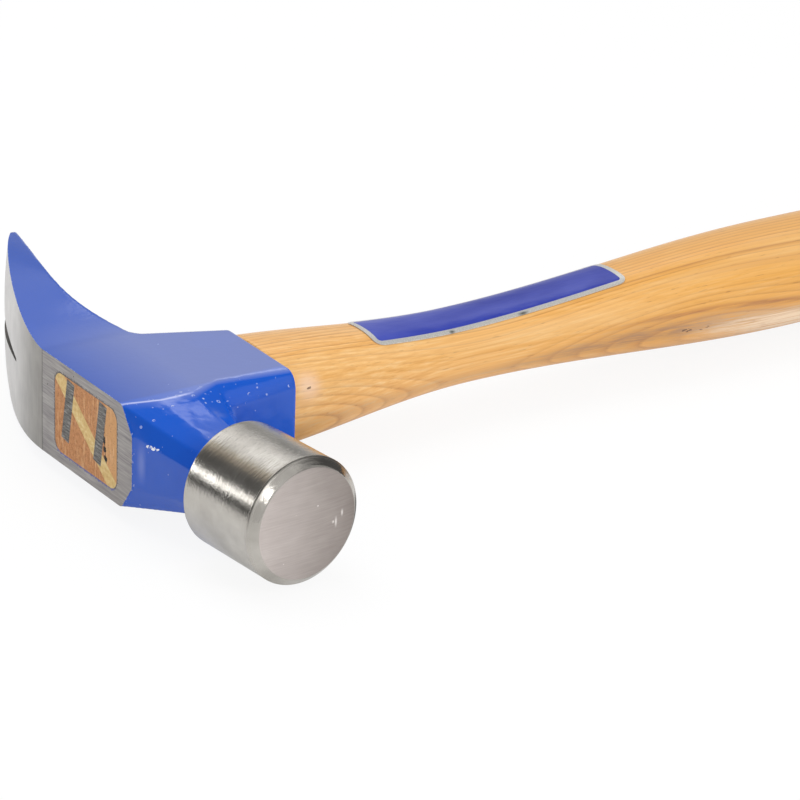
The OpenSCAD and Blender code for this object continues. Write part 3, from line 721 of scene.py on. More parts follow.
def brushed_face():
    """The striking face: hardened steel brushed in one direction, a little warmer and duller than
    the polished side, with a few bright nicks from its first nails."""
    m, t, where = fresh("brushed_striking_face")
    own = on_poll(t, where)
    side = put(t, "SeparateXYZ", own).node.outputs
    # Brush lines 0.4 mm apart (finer on the real one), 9 mm long, across the face
    lines = pattern(t, "TexNoise", own, 9, 3, 0.4, degrees=(0, 3, 0), Detail=3.0, Roughness=0.65)
    both = put(t, "Mix", 0.45, lines, pattern(t, "TexNoise", own, 10))
    # Painted shade: paler on the crown's side, darker towards the handle
    wear_and_painted_shade = put(t, "MapRange", side["X"], -0.013, 0.016)
    pale = put(t, "ValToRGB", both, stops=((0.3, "#c1b7b2"), (0.7, "#dad1cd")))
    dull = put(t, "ValToRGB", both, stops=((0.3, "#857c78"), (0.7, "#9d948e")))
    # Nicks: three short upright strokes near the handle's side, and grains of 0.4 mm
    marks = [spot(t, (side["X"], x, 0.0005), (side["Z"], z, tall)) for x, z, tall in (
        (0.0088, -0.0016, 0.002), (0.0108, 0.0004, 0.0013), (0.0079, -0.0014, 0.0006))]
    cell, chance = cells(t, own, 3.4, 30, 3.4)
    marks.append(put(t, "*", put(t, "<", cell, 0.06), put(t, ">", chance["Red"], 0.7)))
    mark = reduce(lambda a, b: put(t, "Math MAXIMUM", a, b), marks)
    bump = put(t, "Bump", {"Height": lines, "Strength": 0.4, "Distance": 0.00006})
    put(t, "OutputMaterial", put(t, "BsdfPrincipled", {
        "Base Color": tinted(t, pale, (wear_and_painted_shade, dull), (mark, "#ece6e2")), "Metallic": 1.0,
        "Normal": bump, "Roughness": put(t, "MapRange", lines, 0.3, 0.7, 0.3, 0.4)}))
    return m


def hickory(look):
    """Hickory under clear lacquer: golden sapwood, growth rings nearly along the handle that show
    as long straight lines and, low on the side, as arches; short dark pores; a browner heart streak
    with a small pin knot. The UV map holds millimetres along the handle and degrees round it."""
    m, t, where = fresh("lacquered_hickory")
    place = put(t, "SeparateXYZ", where.node.outputs["UV"]).node.outputs
    xyz = put(t, "SeparateXYZ", where).node.outputs
    # The rings' planes face down and to the poll, and wander by some millimetres over 85 mm
    wander = pattern(t, "TexNoise", where, 85, 34, 34, Detail=0.0)
    depth = put(t, "*+", xyz["Y"], 0.88, put(t, "*", xyz["Z"], 0.47))
    depth = put(t, "*+", wander, 0.0095, depth)
    # Rings 1.5 mm apart, each with its own strength, dark where they start and fading outwards
    count = put(t, "*", depth, 1000 / 1.5)
    own = put(t, "TexWhiteNoise", put(t, "Math FLOOR", count), noise_dimensions="1D")
    early = put(t, "ValToRGB", put(t, "Math FRACT", count),
                stops=((0.0, 0.1), (0.12, 1.0), (0.3, 0.45), (0.62, 0.08), (1.0, 0.0)))
    ring = put(t, "*", early, put(t, "MapRange", own, 0.0, 1.0, 0.15, 0.75))
    fibre = pattern(t, "TexNoise", where, 55, 0.7, 0.7, Detail=3.0, Roughness=0.6)
    colour = put(t, "ValToRGB", fibre,
                 stops=((0.28, look.wood_dark), (0.5, look.wood), (0.72, look.wood_light)))
    # The wood turns more golden towards the grip, and has paler stripes 9 mm wide, 130 mm long
    gold = put(t, "MapRange SMOOTHSTEP", xyz["X"], 0.09, 0.2, 0.0, 0.55)
    pale = put(t, "MapRange", pattern(t, "TexNoise", where, 130, 9, 9), 0.5, 0.75, 0.0, 0.4)
    colour = tinted(t, colour, (gold, "#e5a441"), (ring, look.ring), (pale, "#f6d29c"))
    # Streaks: angle round the handle, half width in degrees, where they start, colour, strength.
    # The first are the brown heart, the last two a greyer band from the socket on and a pale one
    # beside the heart, low towards the floor, which is painted light bounced up from the floor
    drift = put(t, "*", put(t, "-", wander, 0.5), 30.0)
    angle = put(t, "+", place["Y"], drift)
    fray = put(t, "MapRange", fibre, 0.25, 0.65)
    for centre, half, first, code, strength in (
            (-106, 20, 135, "#a5744a", 1.0), (-87, 6, 160, "#a4653a", 0.8),
            (-21, 3, 165, "#a8683a", 0.6), (-38, 9, 190, "#c07f42", 0.35),
            (-104, 16, 30, "#b08a68", 0.45), (-118, 30, 197, "#f7dcbc", 2.2)):
        start = put(t, "MapRange SMOOTHSTEP", place["X"], first - 20.0, first + 30.0, 0.0, strength)
        streak = put(t, "*", band(t, angle, centre, half), start)
        colour = tinted(t, colour, (streak, fray, code))
    # Pores: dark dashes 0.35 mm wide and 4.5 mm long, most of them in the early wood. A pale halo
    # behind the socket
    pore = pattern(t, "TexNoise", where, 4.5, 0.35, 0.35, Detail=1.0)
    dash = put(t, "*", put(t, "MapRange", pore, 0.66, 0.74),
               put(t, "MapRange", early, 0.0, 1.0, 0.12, 0.6))
    halo = spot(t, (place["X"], 58.5, 6.0), (place["Y"], -64, 24))
    colour = tinted(t, colour, (dash, "#a8703a"), (halo, 0.6, "#fbdcc4"))
    # The pin knot's specks, torn fibres at a ding inside that halo, and grime at the socket: place
    # and half its length, angle and half its width in degrees, level of the specks, colour
    bits = pattern(t, "TexNoise", where, 2.2, 0.9, 0.9, Detail=3.0)
    for x, half_x, a, half_a, level, code in (
            (189, 16, -104, 8, 0.44, "#543a28"), (58.4, 2.6, -66, 12, 0.45, "#5b3c24"),
            (51.3, 1.2, -80, 70, 0.5, "#4a3220")):
        near = spot(t, (place["X"], x, half_x), (place["Y"], a, half_a))
        bit = put(t, ">", bits, put(t, "MapRange", near, 0.0, 1.0, 1.0, level))
        colour = tinted(t, colour, (bit, 0.8, code))
    height = put(t, "*+", fibre, 0.35, put(t, "*", dash, -0.7))
    bump = put(t, "Bump", {"Height": height, "Strength": 0.3, "Distance": 0.00015})
    put(t, "OutputMaterial", put(t, "BsdfPrincipled", {
        "Base Color": colour, "Normal": bump, "IOR": 1.5, "Coat Weight": 0.4,
        "Coat Roughness": 0.25, "Coat IOR": 1.5,
        "Roughness": put(t, "MapRange", fibre, 0.3, 0.7, 0.36, 0.48)}))
    return m


def end_grain():
    """Hickory cut across: orange-brown, torn by the belt, with pale rays and open pores. It has
    sunk a little off the face-side wedge, and the shade in that gap is painted as a dark, broken
    line."""
    m, t, where = fresh("hickory_end_grain")
    xyz = put(t, "SeparateXYZ", where).node.outputs
    grain = pattern(t, "TexNoise", where, 3, 1.1, 1.1, Detail=4.0, Roughness=0.7)
    colour = put(t, "ValToRGB", grain, stops=((0.3, "#a9683a"), (0.5, "#c98a55"), (0.7, "#dba06c")))
    # The strip between the face-side wedge and the eye's end is sapwood, and paler
    strip = put(t, "MapRange", xyz["Y"], -0.0095, -0.0105, 0.0, 0.65)
    # Rays: pale streaks 0.8 mm apart, 6 mm long, steep across the end. Pores in cells of 0.8 mm
    rays = put(t, "MapRange", pattern(t, "TexNoise", where, 9, 0.8, 6, degrees=(-24, 0, 0)),
               0.55, 0.68, 0.0, 0.6)
    pore = put(t, "MapRange", pattern(t, "TexVoronoi", where, 4, 0.8, 0.8, out="Distance"),
               0.12, 0.28, 0.5, 0.0)
    # Painted shade of the gap at the wedge: up to 1.6 mm wide, in the wedge's direction, some 12 mm
    # long
    lean = put(t, "*+", xyz["Z"], -math.tan(math.radians(10)), xyz["Y"])
    off = put(t, "Math ABSOLUTE", put(t, "-", lean, -0.00985))
    wide = put(t, "MapRange", pattern(t, "TexNoise", where, 4, 4, 1.1, Detail=1.0),
               0.35, 0.6, 0.0, 0.0008)
    gap = put(t, "*", put(t, "<", off, wide), put(t, ">", band(t, xyz["Z"], 0.0, 0.0075), 0.15))
    colour = tinted(t, colour, (strip, "#e2ad72"), (rays, "#efc392"), (pore, "#8c5430"),
                    (gap, "#0d0907"))
    bump = put(t, "Bump", {"Height": grain, "Strength": 0.6, "Distance": 0.0004})
    put(t, "OutputMaterial", put(t, "BsdfPrincipled", {
        "Base Color": colour, "Roughness": 0.62, "IOR": 1.5, "Normal": bump}))
    return m


def wedge_wood():
    """The wooden wedge: close-grained pale wood, its end cut across and slightly furry."""
    m, t, where = fresh("pale_wedge_wood")
    grain = pattern(t, "TexNoise", where, 3, 1.0, 1.0, Detail=4.0, Roughness=0.65)
    streak = pattern(t, "TexNoise", where, 9, 6, 1.1, degrees=(-36, 0, 0))
    colour = put(t, "ValToRGB", put(t, "Mix", 0.4, grain, streak),
                 stops=((0.32, "#cfa765"), (0.5, "#e3c27e"), (0.68, "#f2dca4")))
    bump = put(t, "Bump", {"Height": grain, "Strength": 0.5, "Distance": 0.0003})
    put(t, "OutputMaterial", put(t, "BsdfPrincipled", {
        "Base Color": colour, "Roughness": 0.55, "IOR": 1.5, "Normal": bump}))
    return m


def wedge_steel():
    """Soft steel of the wedges, ground flush with the crown: lines run askew across each end."""
    m, t, where = fresh("ground_wedge_steel")
    # Belt lines 0.55 mm apart (finer on the real one), turned against the crown's
    lines = pattern(t, "TexNoise", where, 4, 4, 0.55, degrees=(-14, 0, 0), Detail=3.0,
                    Roughness=0.75)
    colour = put(t, "ValToRGB", lines,
                 stops=((0.32, "#484644"), (0.5, "#757370"), (0.66, "#a3a19d")))
    bump = put(t, "Bump", {"Height": lines, "Strength": 0.6, "Distance": 0.00015})
    put(t, "OutputMaterial", put(t, "BsdfPrincipled", {
        "Base Color": colour, "Metallic": 1.0, "Roughness": 0.45, "Normal": bump}))
    return m


def printed_foil(look):
    """Printed foil: a glossy blue field inside a silver-grey border, both with round corners. The
    UV map holds the place on the label in millimetres, so the border keeps one width."""
    m, t, uv = fresh("printed_foil", "UV")
    xy = put(t, "SeparateXYZ", uv).node.outputs
    length, width, border = (v / MM for v in (look.length, look.width, look.border))
    out = oblong_distance(t, xy["X"], xy["Y"], length / 2 - border, width / 2 - border, 1.2)
    field = put(t, "<", out, 0.0)
    # Flakes of 0.4 mm in the silver print, and two dull nicks in the lower border
    flake = pattern(t, "TexNoise", uv, 0.4, unit=1)
    silver = put(t, "ValToRGB", flake, stops=((0.35, "#bfbeba"), (0.65, "#d6d4d0")))
    nicks = [spot(t, (xy["X"], x, half), (xy["Y"], -width / 2 + 0.4, 1.0))
             for x, half in ((6.5, 2.4), (-17.5, 1.3))]
    silver = tinted(t, silver, (put(t, "Math MAXIMUM", *nicks), "#5c605c"))
    # The print is thinner, and paler, in clouds of 10 to 20 mm; towards the head the field is
    # painted paler still, a painted sheen
    cloud = put(t, "MapRange", pattern(t, "TexNoise", uv, 20, 10, 10, unit=1), 0.35, 0.65, 0.0, 0.5)
    thin = put(t, "+", cloud, put(t, "MapRange", xy["X"], 0.0, -length / 2, 0.0, 0.8),
               use_clamp=True)
    blue = put(t, "Mix RGBA", thin, look.field, look.field_pale)
    # Soft waves of the foil, 8 mm long
    crease = pattern(t, "TexNoise", uv, 25 / 3, 10 / 3, 10 / 3, unit=1)
    bump = put(t, "Bump", {"Height": crease, "Strength": 0.25, "Distance": 0.0006})
    put(t, "OutputMaterial", put(t, "BsdfPrincipled", {
        "Base Color": tinted(t, silver, (field, blue)), "Normal": bump,
        "Metallic": put(t, "MapRange", field, 0.0, 1.0, 0.3, 0.0), "Roughness": 0.3, "IOR": 1.45}))
    return m


# ---- what a user may change ----------------------------------------------------------------


def colour_prop(name, description, code):
    return bpy.props.FloatVectorProperty(name=name, description=description, default=linear(code),
                                         subtype="COLOR", min=0, max=1)


def number_prop(name, description, default, low, high, **kind):
    return bpy.props.FloatProperty(name=name, description=description, default=default, min=low,
                                   max=high, **kind)


def length_prop(name, description, default, low, high):
    return number_prop(name, description, default * MM, low * MM, high * MM, unit="LENGTH",
                       subtype="DISTANCE", precision=4)


class HeadLook(bpy.types.PropertyGroup):
    """Looks of the enamelled head."""
    enamel: colour_prop("Enamel", "Colour of the enamel where it is thin", "#134cb2")
    enamel_deep: colour_prop("Deep enamel", "Colour of the enamel where it is thick", "#1156c6")
    ripple: number_prop("Ripple", "Strength of the orange peel in the enamel", 0.5, 0, 1,
                        subtype="FACTOR")
    facet: length_prop("Facet", "Size of the faces that the forging is made of", 0.46, 0.45, 1.5)
    softening: bpy.props.IntProperty(
        name="Softening", description="Passes that round the forging's ridges under the enamel",
        default=4, min=0, max=30)


class HandleLook(bpy.types.PropertyGroup):
    """Looks of the hickory handle."""
    wood: colour_prop("Wood", "Main colour of the hickory", "#f0b668")
    wood_light: colour_prop("Light wood", "Colour of the palest fibres", "#f7ca8b")
    wood_dark: colour_prop("Dark wood", "Colour of the darkest fibres", "#e2a355")
    ring: colour_prop("Growth ring", "Colour of the early wood in each ring", "#bf8040")


class LabelLook(bpy.types.PropertyGroup):
    """Size and colours of the foil label."""
    length: length_prop("Length", "Length along the handle", 85.6, 50, 100)
    width: length_prop("Width", "Width round the handle", 17.4, 10, 22)
    place: length_prop("Place", "Middle of the label behind the crown", 127.9, 105, 150)
    turn: number_prop("Turn", "Turn of the label against the handle", math.radians(1.6),
                      -0.07, 0.07, unit="ROTATION", subtype="ANGLE")
    corner: length_prop("Corner", "Radius of the corners", 3.0, 1, 6)
    border: length_prop("Border", "Width of the border", 1.6, 0.5, 4)
    field: colour_prop("Field", "Colour of the printed field", "#1a2d98")
    field_pale: colour_prop("Pale field", "Colour of the field where the print is thin", "#424fb0")


class StageLook(bpy.types.PropertyGroup):
    """Light of the studio."""
    sky: number_prop("Ambient", "Level of the even light from all round", 0.66, 0, 2)
    room: number_prop("Room", "Brightness of the camera's side as gloss mirrors it", 0.78, 0, 2)
    key: number_prop("Key", "Power of the overhead softbox", 3.5, 0, 50, unit="POWER")
    fill: number_prop("Fill", "Power of the front softbox", 3.3, 0, 50, unit="POWER")


# ---- the pieces ----------------------------------------------------------------------------


class HAMMER_OT_head(bpy.types.Operator):
    """Forges the head, cuts its eye and nail slot, and grinds the crown and the claw's back bare"""
    bl_idname = "hammer.head"
    bl_label = "Forged head"

    def execute(self, context):
        look = context.scene.hammer_head
        points, faces = joined(block_form(), crown_form(), claw_form(), socket_form(),
                               cheek_hollow_form(), neck_form(), cove_form())
        o = outward(piece("forged_head", points, faces, [blue_enamel(look)]))
        soft = o.modifiers.new("forging", "REMESH")
        soft.mode, soft.voxel_size = "VOXEL", look.facet
        smooth = o.modifiers.new("enamel", "SMOOTH")
        smooth.factor, smooth.iterations = 0.5, look.softening
        baked(o)
        # The polished poll is a piece of its own, and starts where the paint ends
        point, axis = poll_frame()[:2]
        cut_off(o, (point + axis * (FACE_REACH - POLL_LEN + RIM)) * MM, axis)
        scale = forge_scale()
        for make in (lambda: self.eye_cutter(scale), lambda: self.slot_cutter(scale), self.grinder):
            cutter = outward(make())
            cut = o.modifiers.new("cut", "BOOLEAN")
            cut.operation, cut.object = "DIFFERENCE", cutter
            cut.solver, cut.material_mode = "MANIFOLD", "TRANSFER"
            baked(o)
            bpy.data.objects.remove(cutter)
        mesh = o.data
        co = rows_of(mesh.vertices, "co")
        # The enamel reads how far it lies from the ground faces, to chip along their edges
        depth = (co[:, 0] - ground_surface(co[:, 1], co[:, 2])).astype(np.float32)
        mesh.attributes.new("ground_depth", "FLOAT", "POINT").data.foreach_set("value", depth)
        mesh.polygons.foreach_set("use_smooth", [True] * len(mesh.polygons))
        mesh.set_sharp_from_angle(angle=math.radians(34))
        finished(o, "head")
        return {"FINISHED"}

    @staticmethod
    def eye_cutter(material):
        """The eye's space: oblongs with round corners, wide at the crown and the mouth and narrow
        between them."""
        a = np.radians(np.arange(0, 360, 10))
        corner = np.stack([np.sign(np.cos(a + 0.01)), np.sign(np.sin(a + 0.01))], -1)
        ring = np.stack([np.cos(a), np.sin(a)], -1) * EYE_R
        flat = corner * (EYE[:, None, 1:] / 2 - EYE_R) + ring
        x = np.broadcast_to(EYE[:, :1, None], flat.shape[:2] + (1,))
        return piece("eye_cutter", *ringed(np.concatenate([x, flat], -1)), [material])

    @staticmethod
    def slot_cutter(material):
        """The nail slot: a taper with a round root, straight through the claw and past its tips."""
        a = np.radians(np.linspace(90, 270, 9))
        end, low, high = CLAW_REACH + 12, -8.0, 60.0
        half = SLOT_R + (end - SLOT_ROOT) * (SLOT_W - SLOT_R) / (2 * (CLAW_REACH - SLOT_ROOT))
        y = np.append(SLOT_ROOT + SLOT_R * np.cos(a), [end, end])
        z = np.append(SLOT_R * np.sin(a), [-half, half])
        rings = np.stack([np.stack([np.full(len(y), x), y, z], -1) for x in (low, high)])
        return piece("slot_cutter", *ringed(rings), [material])

    @staticmethod
    def grinder():
        """What grinding takes away: below, the ground surface over y and z; above, a flat well
        outside the head. The crown and the claw's back get their own finishes."""
        half_width, height = 24, 12
        y = np.concatenate([[-BLOCK_POLL - 8], np.linspace(-20, BLOCK_CLAW, 12),
                            np.linspace(BLOCK_CLAW + 0.5, CLAW_REACH + 6, 150)])
        z = np.linspace(-half_width, half_width, 61)
        Y, Z = np.meshgrid(y, z, indexing="ij")
        low = np.stack([ground_surface(Y, Z), Y, Z], -1).reshape(-1, 3)
        top = low * [0, 1, 1] - [height, 0, 0]
        faces = plate_faces(len(y), len(z))
        o = piece("grinder", np.vstack([low, top]), faces, [ground_steel(), satin_steel()])
        index = np.zeros(len(faces), np.int32)
        quads = grid_faces(len(y), len(z))
        index[:len(quads)] = low[quads[:, 0], 1] > BLOCK_CLAW - 0.1
        o.data.polygons.foreach_set("material_index", index)
        return o


class HAMMER_OT_poll(bpy.types.Operator):
    """Turns the bare poll: polished side, softly chamfered edge and crowned, brushed face"""
    bl_idname = "hammer.poll"
    bl_label = "Polished poll"

    def execute(self, context):
        back, front = FACE_REACH - POLL_LEN + RIM, FACE_REACH
        r0, r1, rf = POLL_BACK_D / 2, FACE_D / 2, FACE_D / 2 - FACE_CHAMFER
        outer_edge, inner_edge = (front - FACE_CHAMFER, r1), (front, rf)
        # The chamfer's outer edge is rounded over 0.3 mm, its inner one over 0.4 mm
        outer = self.rounded((front - 8, mix(r0, r1, 0.73)), outer_edge, inner_edge, 0.3)
        inner = self.rounded(outer_edge, inner_edge, (front + 0.25, rf - 3), 0.4)
        dome = (rf * rf + FACE_CROWN ** 2) / (2 * FACE_CROWN)
        a = np.linspace(math.asin((rf - 0.45) / dome), 0.002, 24)
        face = np.stack([front + FACE_CROWN - dome * (1 - np.cos(a)), dome * np.sin(a)], -1)
        u = np.linspace(0, 1, 30)
        side = np.stack([mix(back + 0.2, front - 4, u), mix(r0, r1, u * 0.86)], -1)
        start = [(back, 1), (back, r0 - 3), (back, r0 - 0.15), (back + 0.04, r0 - 0.05)]
        points, faces = ringed(turned_rings(np.vstack([start, side, outer, inner, face]), 192))
        o = outward(piece("polished_poll", points, faces, [polished_steel(), brushed_face()]))
        # The brushed face starts inside the chamfer
        point, axis = poll_frame()[:2]
        centre = rows_of(o.data.polygons, "center") - point
        along = centre @ axis
        radius = np.linalg.norm(centre - along[:, None] * axis, axis=1)
        on_face = (along > front - 0.05) & (radius < rf - 0.1)
        o.data.polygons.foreach_set("material_index", on_face.astype(np.int32))
        finished(o, "head")
        return {"FINISHED"}

    @staticmethod
    def rounded(a, b, c, size):
        """Replaces the corner b of the line a, b, c by a quadratic arc that starts size before
        it."""
        a, b, c = map(np.array, (a, b, c))
        p = b + (a - b) / np.linalg.norm(a - b) * size
        q = b + (c - b) / np.linalg.norm(c - b) * size
        t = np.linspace(0, 1, 7)[:, None]
        return (1 - t) ** 2 * p + 2 * t * (1 - t) * b + t * t * q


class HAMMER_OT_handle(bpy.types.Operator):
    """Shapes the hickory handle and its wedged tenon"""
    bl_idname = "hammer.handle"
    bl_label = "Hickory handle"

    def execute(self, context):
        steps, shoulder, broken = 144, STATIONS[0, 0], 0.5
        # Places along the handle, and how far its skin is drawn in: at the shoulder the edge is
        # broken by half a millimetre, and the butt's edge is a quarter circle
        body = np.linspace(shoulder + broken, HAMMER_L - BUTT_R, 260)
        butt = np.radians(np.linspace(0, 88, 14))[1:]
        x = np.concatenate([[shoulder], body, HAMMER_L - BUTT_R * (1 - np.sin(butt))])
        inset = np.concatenate([[broken], 0 * body, BUTT_R * (1 - np.cos(butt))])
        hy, hz = handle_size(np.minimum(x, HAMMER_L - BUTT_R))
        degrees = np.arange(steps) * 360 / steps - 180
        c, s = np.cos(np.radians(degrees)), np.sin(np.radians(degrees))
        power = 2 / OVAL_POWER
        y = (hy - inset)[:, None] * np.sign(s) * np.abs(s) ** power
        z = (hz - inset)[:, None] * np.sign(c) * np.abs(c) ** power
        rings = np.stack([np.repeat(x[:, None], steps, 1), y, z], -1)
        points, faces = ringed(rings)
        # The map's seam runs along the underside, so each face's corners are mapped on their own
        i, j = np.meshgrid(np.arange(len(x) - 1), np.arange(steps), indexing="ij")
        i, j = i.ravel()[:, None] + [0, 0, 1, 1], j.ravel()[:, None] + [0, 1, 1, 0]
        skin = np.stack([x[i], j * 360 / steps - 180], -1).reshape(-1, 2)
        ends = np.zeros((6 * steps, 2))
        ends[3 * steps:, 0] = HAMMER_L
        wood = hickory(context.scene.hammer_handle)
        o = piece("hickory_handle", points, faces, [wood], uv=np.vstack([skin, ends]))
        finished(outward(o), "handle")
        # The tenon is the CAD piece in front of the shoulder, its loose triangles merged
        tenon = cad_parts["handle"].copy()
        tenon.data = tenon.data.copy()
        tenon.name = tenon.data.name = "handle_tenon"
        tenon.parent = None
        for key in [k for k in tenon.keys() if k.startswith("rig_")]:
            del tenon[key]
        tenon.hide_render = tenon.hide_viewport = False
        context.scene.collection.objects.link(tenon)
        with editing(tenon.data) as b:
            bmesh.ops.remove_doubles(b, verts=b.verts, dist=1e-6)
        cut_off(tenon, ((shoulder - 0.3) * MM, 0, 0), (1, 0, 0))
        tenon.data.materials.clear()
        tenon.data.materials.append(end_grain())
        tenon.data.polygons.foreach_set("use_smooth", [False] * len(tenon.data.polygons))
        finished(tenon, "handle")
        return {"FINISHED"}


class HAMMER_OT_wedges(bpy.types.Operator):
    """Gives the wooden wedge and both steel wedges their finishes"""
    bl_idname = "hammer.wedges"
    bl_label = "Wedges"

    def execute(self, context):
        steel = wedge_steel()
        for node, material in (("kerf_wedge", wedge_wood()), ("claw_side_wedge", steel),
                               ("face_side_wedge", steel)):
            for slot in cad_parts[node].material_slots:
                slot.material = material
        return {"FINISHED"}


class HAMMER_OT_label(bpy.types.Operator):
    """Lays the bare foil label round the upper side of the handle"""
    bl_idname = "hammer.label"
    bl_label = "Foil label"

    # How high its two sides lie over the wood
    TOP, UNDERSIDE = 0.32, 0.1

    def execute(self, context):
        look = context.scene.hammer_label
        u, v = np.meshgrid(np.sin(np.linspace(-np.pi / 2, np.pi / 2, 91)), np.linspace(-1, 1, 41),
                           indexing="ij")
        top, across = self.surface(u, v, self.TOP, look)
        low, across = self.surface(u, v, self.UNDERSIDE, look)
        place = np.stack([u * look.length / 2 / MM, across], -1).reshape(-1, 2)
        points = np.vstack([top.reshape(-1, 3), low.reshape(-1, 3)])
        o = piece("foil_label", points, plate_faces(*u.shape), [printed_foil(look)],
                  uv=np.vstack([place, place]))
        outward(o).data.set_sharp_from_angle(angle=math.radians(40))
        finished(o, "handle_label")
        return {"FINISHED"}

    @staticmethod
    def surface(u, v, lift, look):
        """Points of the label for u along it and v round it, both -1 to 1, lifted off the wood, and
        their distance round the handle from its middle line. The outline is a turned oblong with
        round corners, bent round the handle's oval."""
        length, width, corner = (p / MM for p in (look.length, look.width, look.corner))
        x = look.place / MM + u * length / 2
        past = np.maximum(0, (np.abs(u) - 1) * length / 2 + corner)
        across = v * (width / 2 - corner + np.sqrt(np.maximum(corner ** 2 - past ** 2, 0)))
        arc = across + u * length / 2 * math.tan(look.turn)
        hy, hz = handle_size(x)
        y = hy * np.sin(arc / hy)
        z = (hz + lift) * (1 - (np.abs(y) / (hy + lift)) ** OVAL_POWER) ** (1 / OVAL_POWER)
        return np.stack([x, y, z], -1), across


class HAMMER_OT_stage(bpy.types.Operator):
    """Sets the pale floor, the soft light and the camera"""
    bl_idname = "hammer.stage"
    bl_label = "Studio"

    # What stands behind the hammer, as its gloss mirrors it: the angle round the view's far side in
    # degrees, from the right-hand horizon over the top to the left-hand one, and the brightness
    # there in red, green and blue. White cards with dark gaps, and one narrow lit strip
    SURROUND = (
        (-180, 0.1), (-174, 0.12), (-168, 0.5), (-161, 1.0), (-20, 1.0), (0, 0.66), (14, 0.5),
        (30, 0.4), (42, 0.46), (50, 0.88), (62, 1.12), (74, 1.5), (88, 1.55), (98, 1.35),
        (108, (0.85, 0.78, 0.66)), (117, (0.5, 0.44, 0.37)), (125, 0.19), (140, 0.17), (154, 0.3),
        (157.5, 3.0), (159.5, 5.5), (162, 5.5), (164, 3.0), (167, 0.35), (172, 0.12), (180, 0.1))
    BRIGHTEST = 6.0
    # Lamps: name, place and aim in metres, side in metres, and the look that gives the power
    LAMPS = (("overhead_softbox", (0.02, 0.25, 0.9), (0.1, 0.0, 0.0), 0.7, "key"),
             ("front_softbox", (0.3, -0.9, 0.5), (0.15, 0.0, 0.0), 0.5, "fill"))
    # The floor's half side and its gap to the hammer, in millimetres
    FLOOR_HALF, FLOOR_GAP = 430, 0.2
    # The camera: its turn round Z, its angle above the floor and its roll in degrees; its distance
    # from a point that it aims at and its shifts to the right and up, which were fitted while the
    # face was taken for 36.5 mm; and its focal length in pixels of a picture 800 wide
    VIEW_ANGLES, VIEW_SHIFT = (-34.1386, 23.4979, 1.8046), (1212, 58.6596, 11.3661)
    FITTED_FACE, AIM, FOCAL, PICTURE, SENSOR = 36.5, (20, -20, 0), 4430.6, 800, 36

    def execute(self, context):
        look = context.scene.hammer_stage
        self.floor()
        self.world(look)
        for name, place, aim, size, power in self.LAMPS:
            self.lamp(name, place, aim, size, getattr(look, power))
        self.camera()
        context.scene.view_settings.view_transform = "Standard"
        return {"FINISHED"}

    def floor(self):
        """A pale floor just under the hammer, white to the camera and paler to gloss than it is to
        matt surfaces, but for the shadow."""
        z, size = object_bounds()[0][2] / MM - self.FLOOR_GAP, self.FLOOR_HALF
        corners = [[-size, -size, z], [size, -size, z], [size, size, z], [-size, size, z]]
        m, t, where = fresh("matt_white_floor")
        paint = put(t, "BsdfPrincipled", {"Base Color": "#ececec", "Roughness": 0.9,
                                          "Specular IOR Level": 0.0})
        glow = put(t, "Emission", "#ffffff", 1.02)
        path = put(t, "LightPath", out="Is Camera Ray").node.outputs
        share = put(t, "*+", path["Is Camera Ray"], 0.88, put(t, "*", path["Is Glossy Ray"], 0.4))
        # The shade of the poll and the socket, 44 by 72 mm, as gloss mirrors it
        where = put(t, "Mapping TEXTURE", {"Vector": where, "Location": (0.062, -0.04, z * MM),
                                           "Scale": (0.022, 0.036, 1.0)})
        off = put(t, "VectorMath LENGTH", where, out="Value")
        shade = put(t, "MapRange", off, 1.2, 0.7, 0.0, 0.8)
        shade = put(t, "*", shade, path["Is Glossy Ray"])
        lit = put(t, "MixShader", share, paint, glow)
        dark = put(t, "Emission", "#404040", 1.0)
        put(t, "OutputMaterial", put(t, "MixShader", shade, lit, dark))
        piece("studio_floor", corners, [[0, 1, 2, 3]], [m])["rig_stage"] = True

    def world(self, look):
        """White to the camera, an even pale light for matt surfaces, and for gloss the surround on
        the far side, a dark band overhead, and a card with one bright lamp on the camera's side."""
        w = bpy.data.worlds.new("studio")
        bpy.context.scene.world = w
        w.use_nodes = True
        t = w.node_tree
        t.nodes.clear()
        where = put(t, "TexCoord", out="Generated")
        xyz = put(t, "SeparateXYZ", where).node.outputs
        angle = put(t, "Math ARCTAN2", xyz["Z"], xyz["X"])
        ring = put(t, "ValToRGB", put(t, "*+", angle, 0.5 / math.pi, 0.5),
                   stops=[(0.5 + a / 360, np.array(v) / self.BRIGHTEST) for a, v in self.SURROUND])
        ring = put(t, "VectorMath SCALE", ring, self.BRIGHTEST)
        # The card on the camera's side, dimmer to the right
        card = put(t, "*", put(t, "MapRange SMOOTHSTEP", xyz["Y"], -0.26, -0.34),
                   put(t, "MapRange", xyz["X"], 0.4, 0.54, 1.0, 0.5))
        near = put(t, "Mix RGBA", card, 0.1, look.room)
        lamp = self.cone(t, where, (-0.43, -0.73, 0.53), 0.985, 0.994)
        near = put(t, "Mix RGBA", lamp, near, 6.0)
        far = put(t, "MapRange SMOOTHSTEP", xyz["Y"], 0.57, 0.66)
        gloss = put(t, "Mix RGBA", far, near, ring)
        # A small panel up on the far side lights the socket's bevel
        panel = self.cone(t, where, (0.495, 0.585, 0.64), 0.9945, 0.996)
        gloss = put(t, "Mix RGBA", panel, gloss, 2.2)
        path = put(t, "LightPath", out="Is Camera Ray").node.outputs
        light = put(t, "Mix RGBA", path["Is Glossy Ray"], look.sky, gloss)
        seen = put(t, "Math MAXIMUM", path["Is Camera Ray"], path["Is Transmission Ray"])
        colour = put(t, "Mix RGBA", seen, light, "#ffffff")
        put(t, "OutputWorld", put(t, "Background", colour, 1.0))

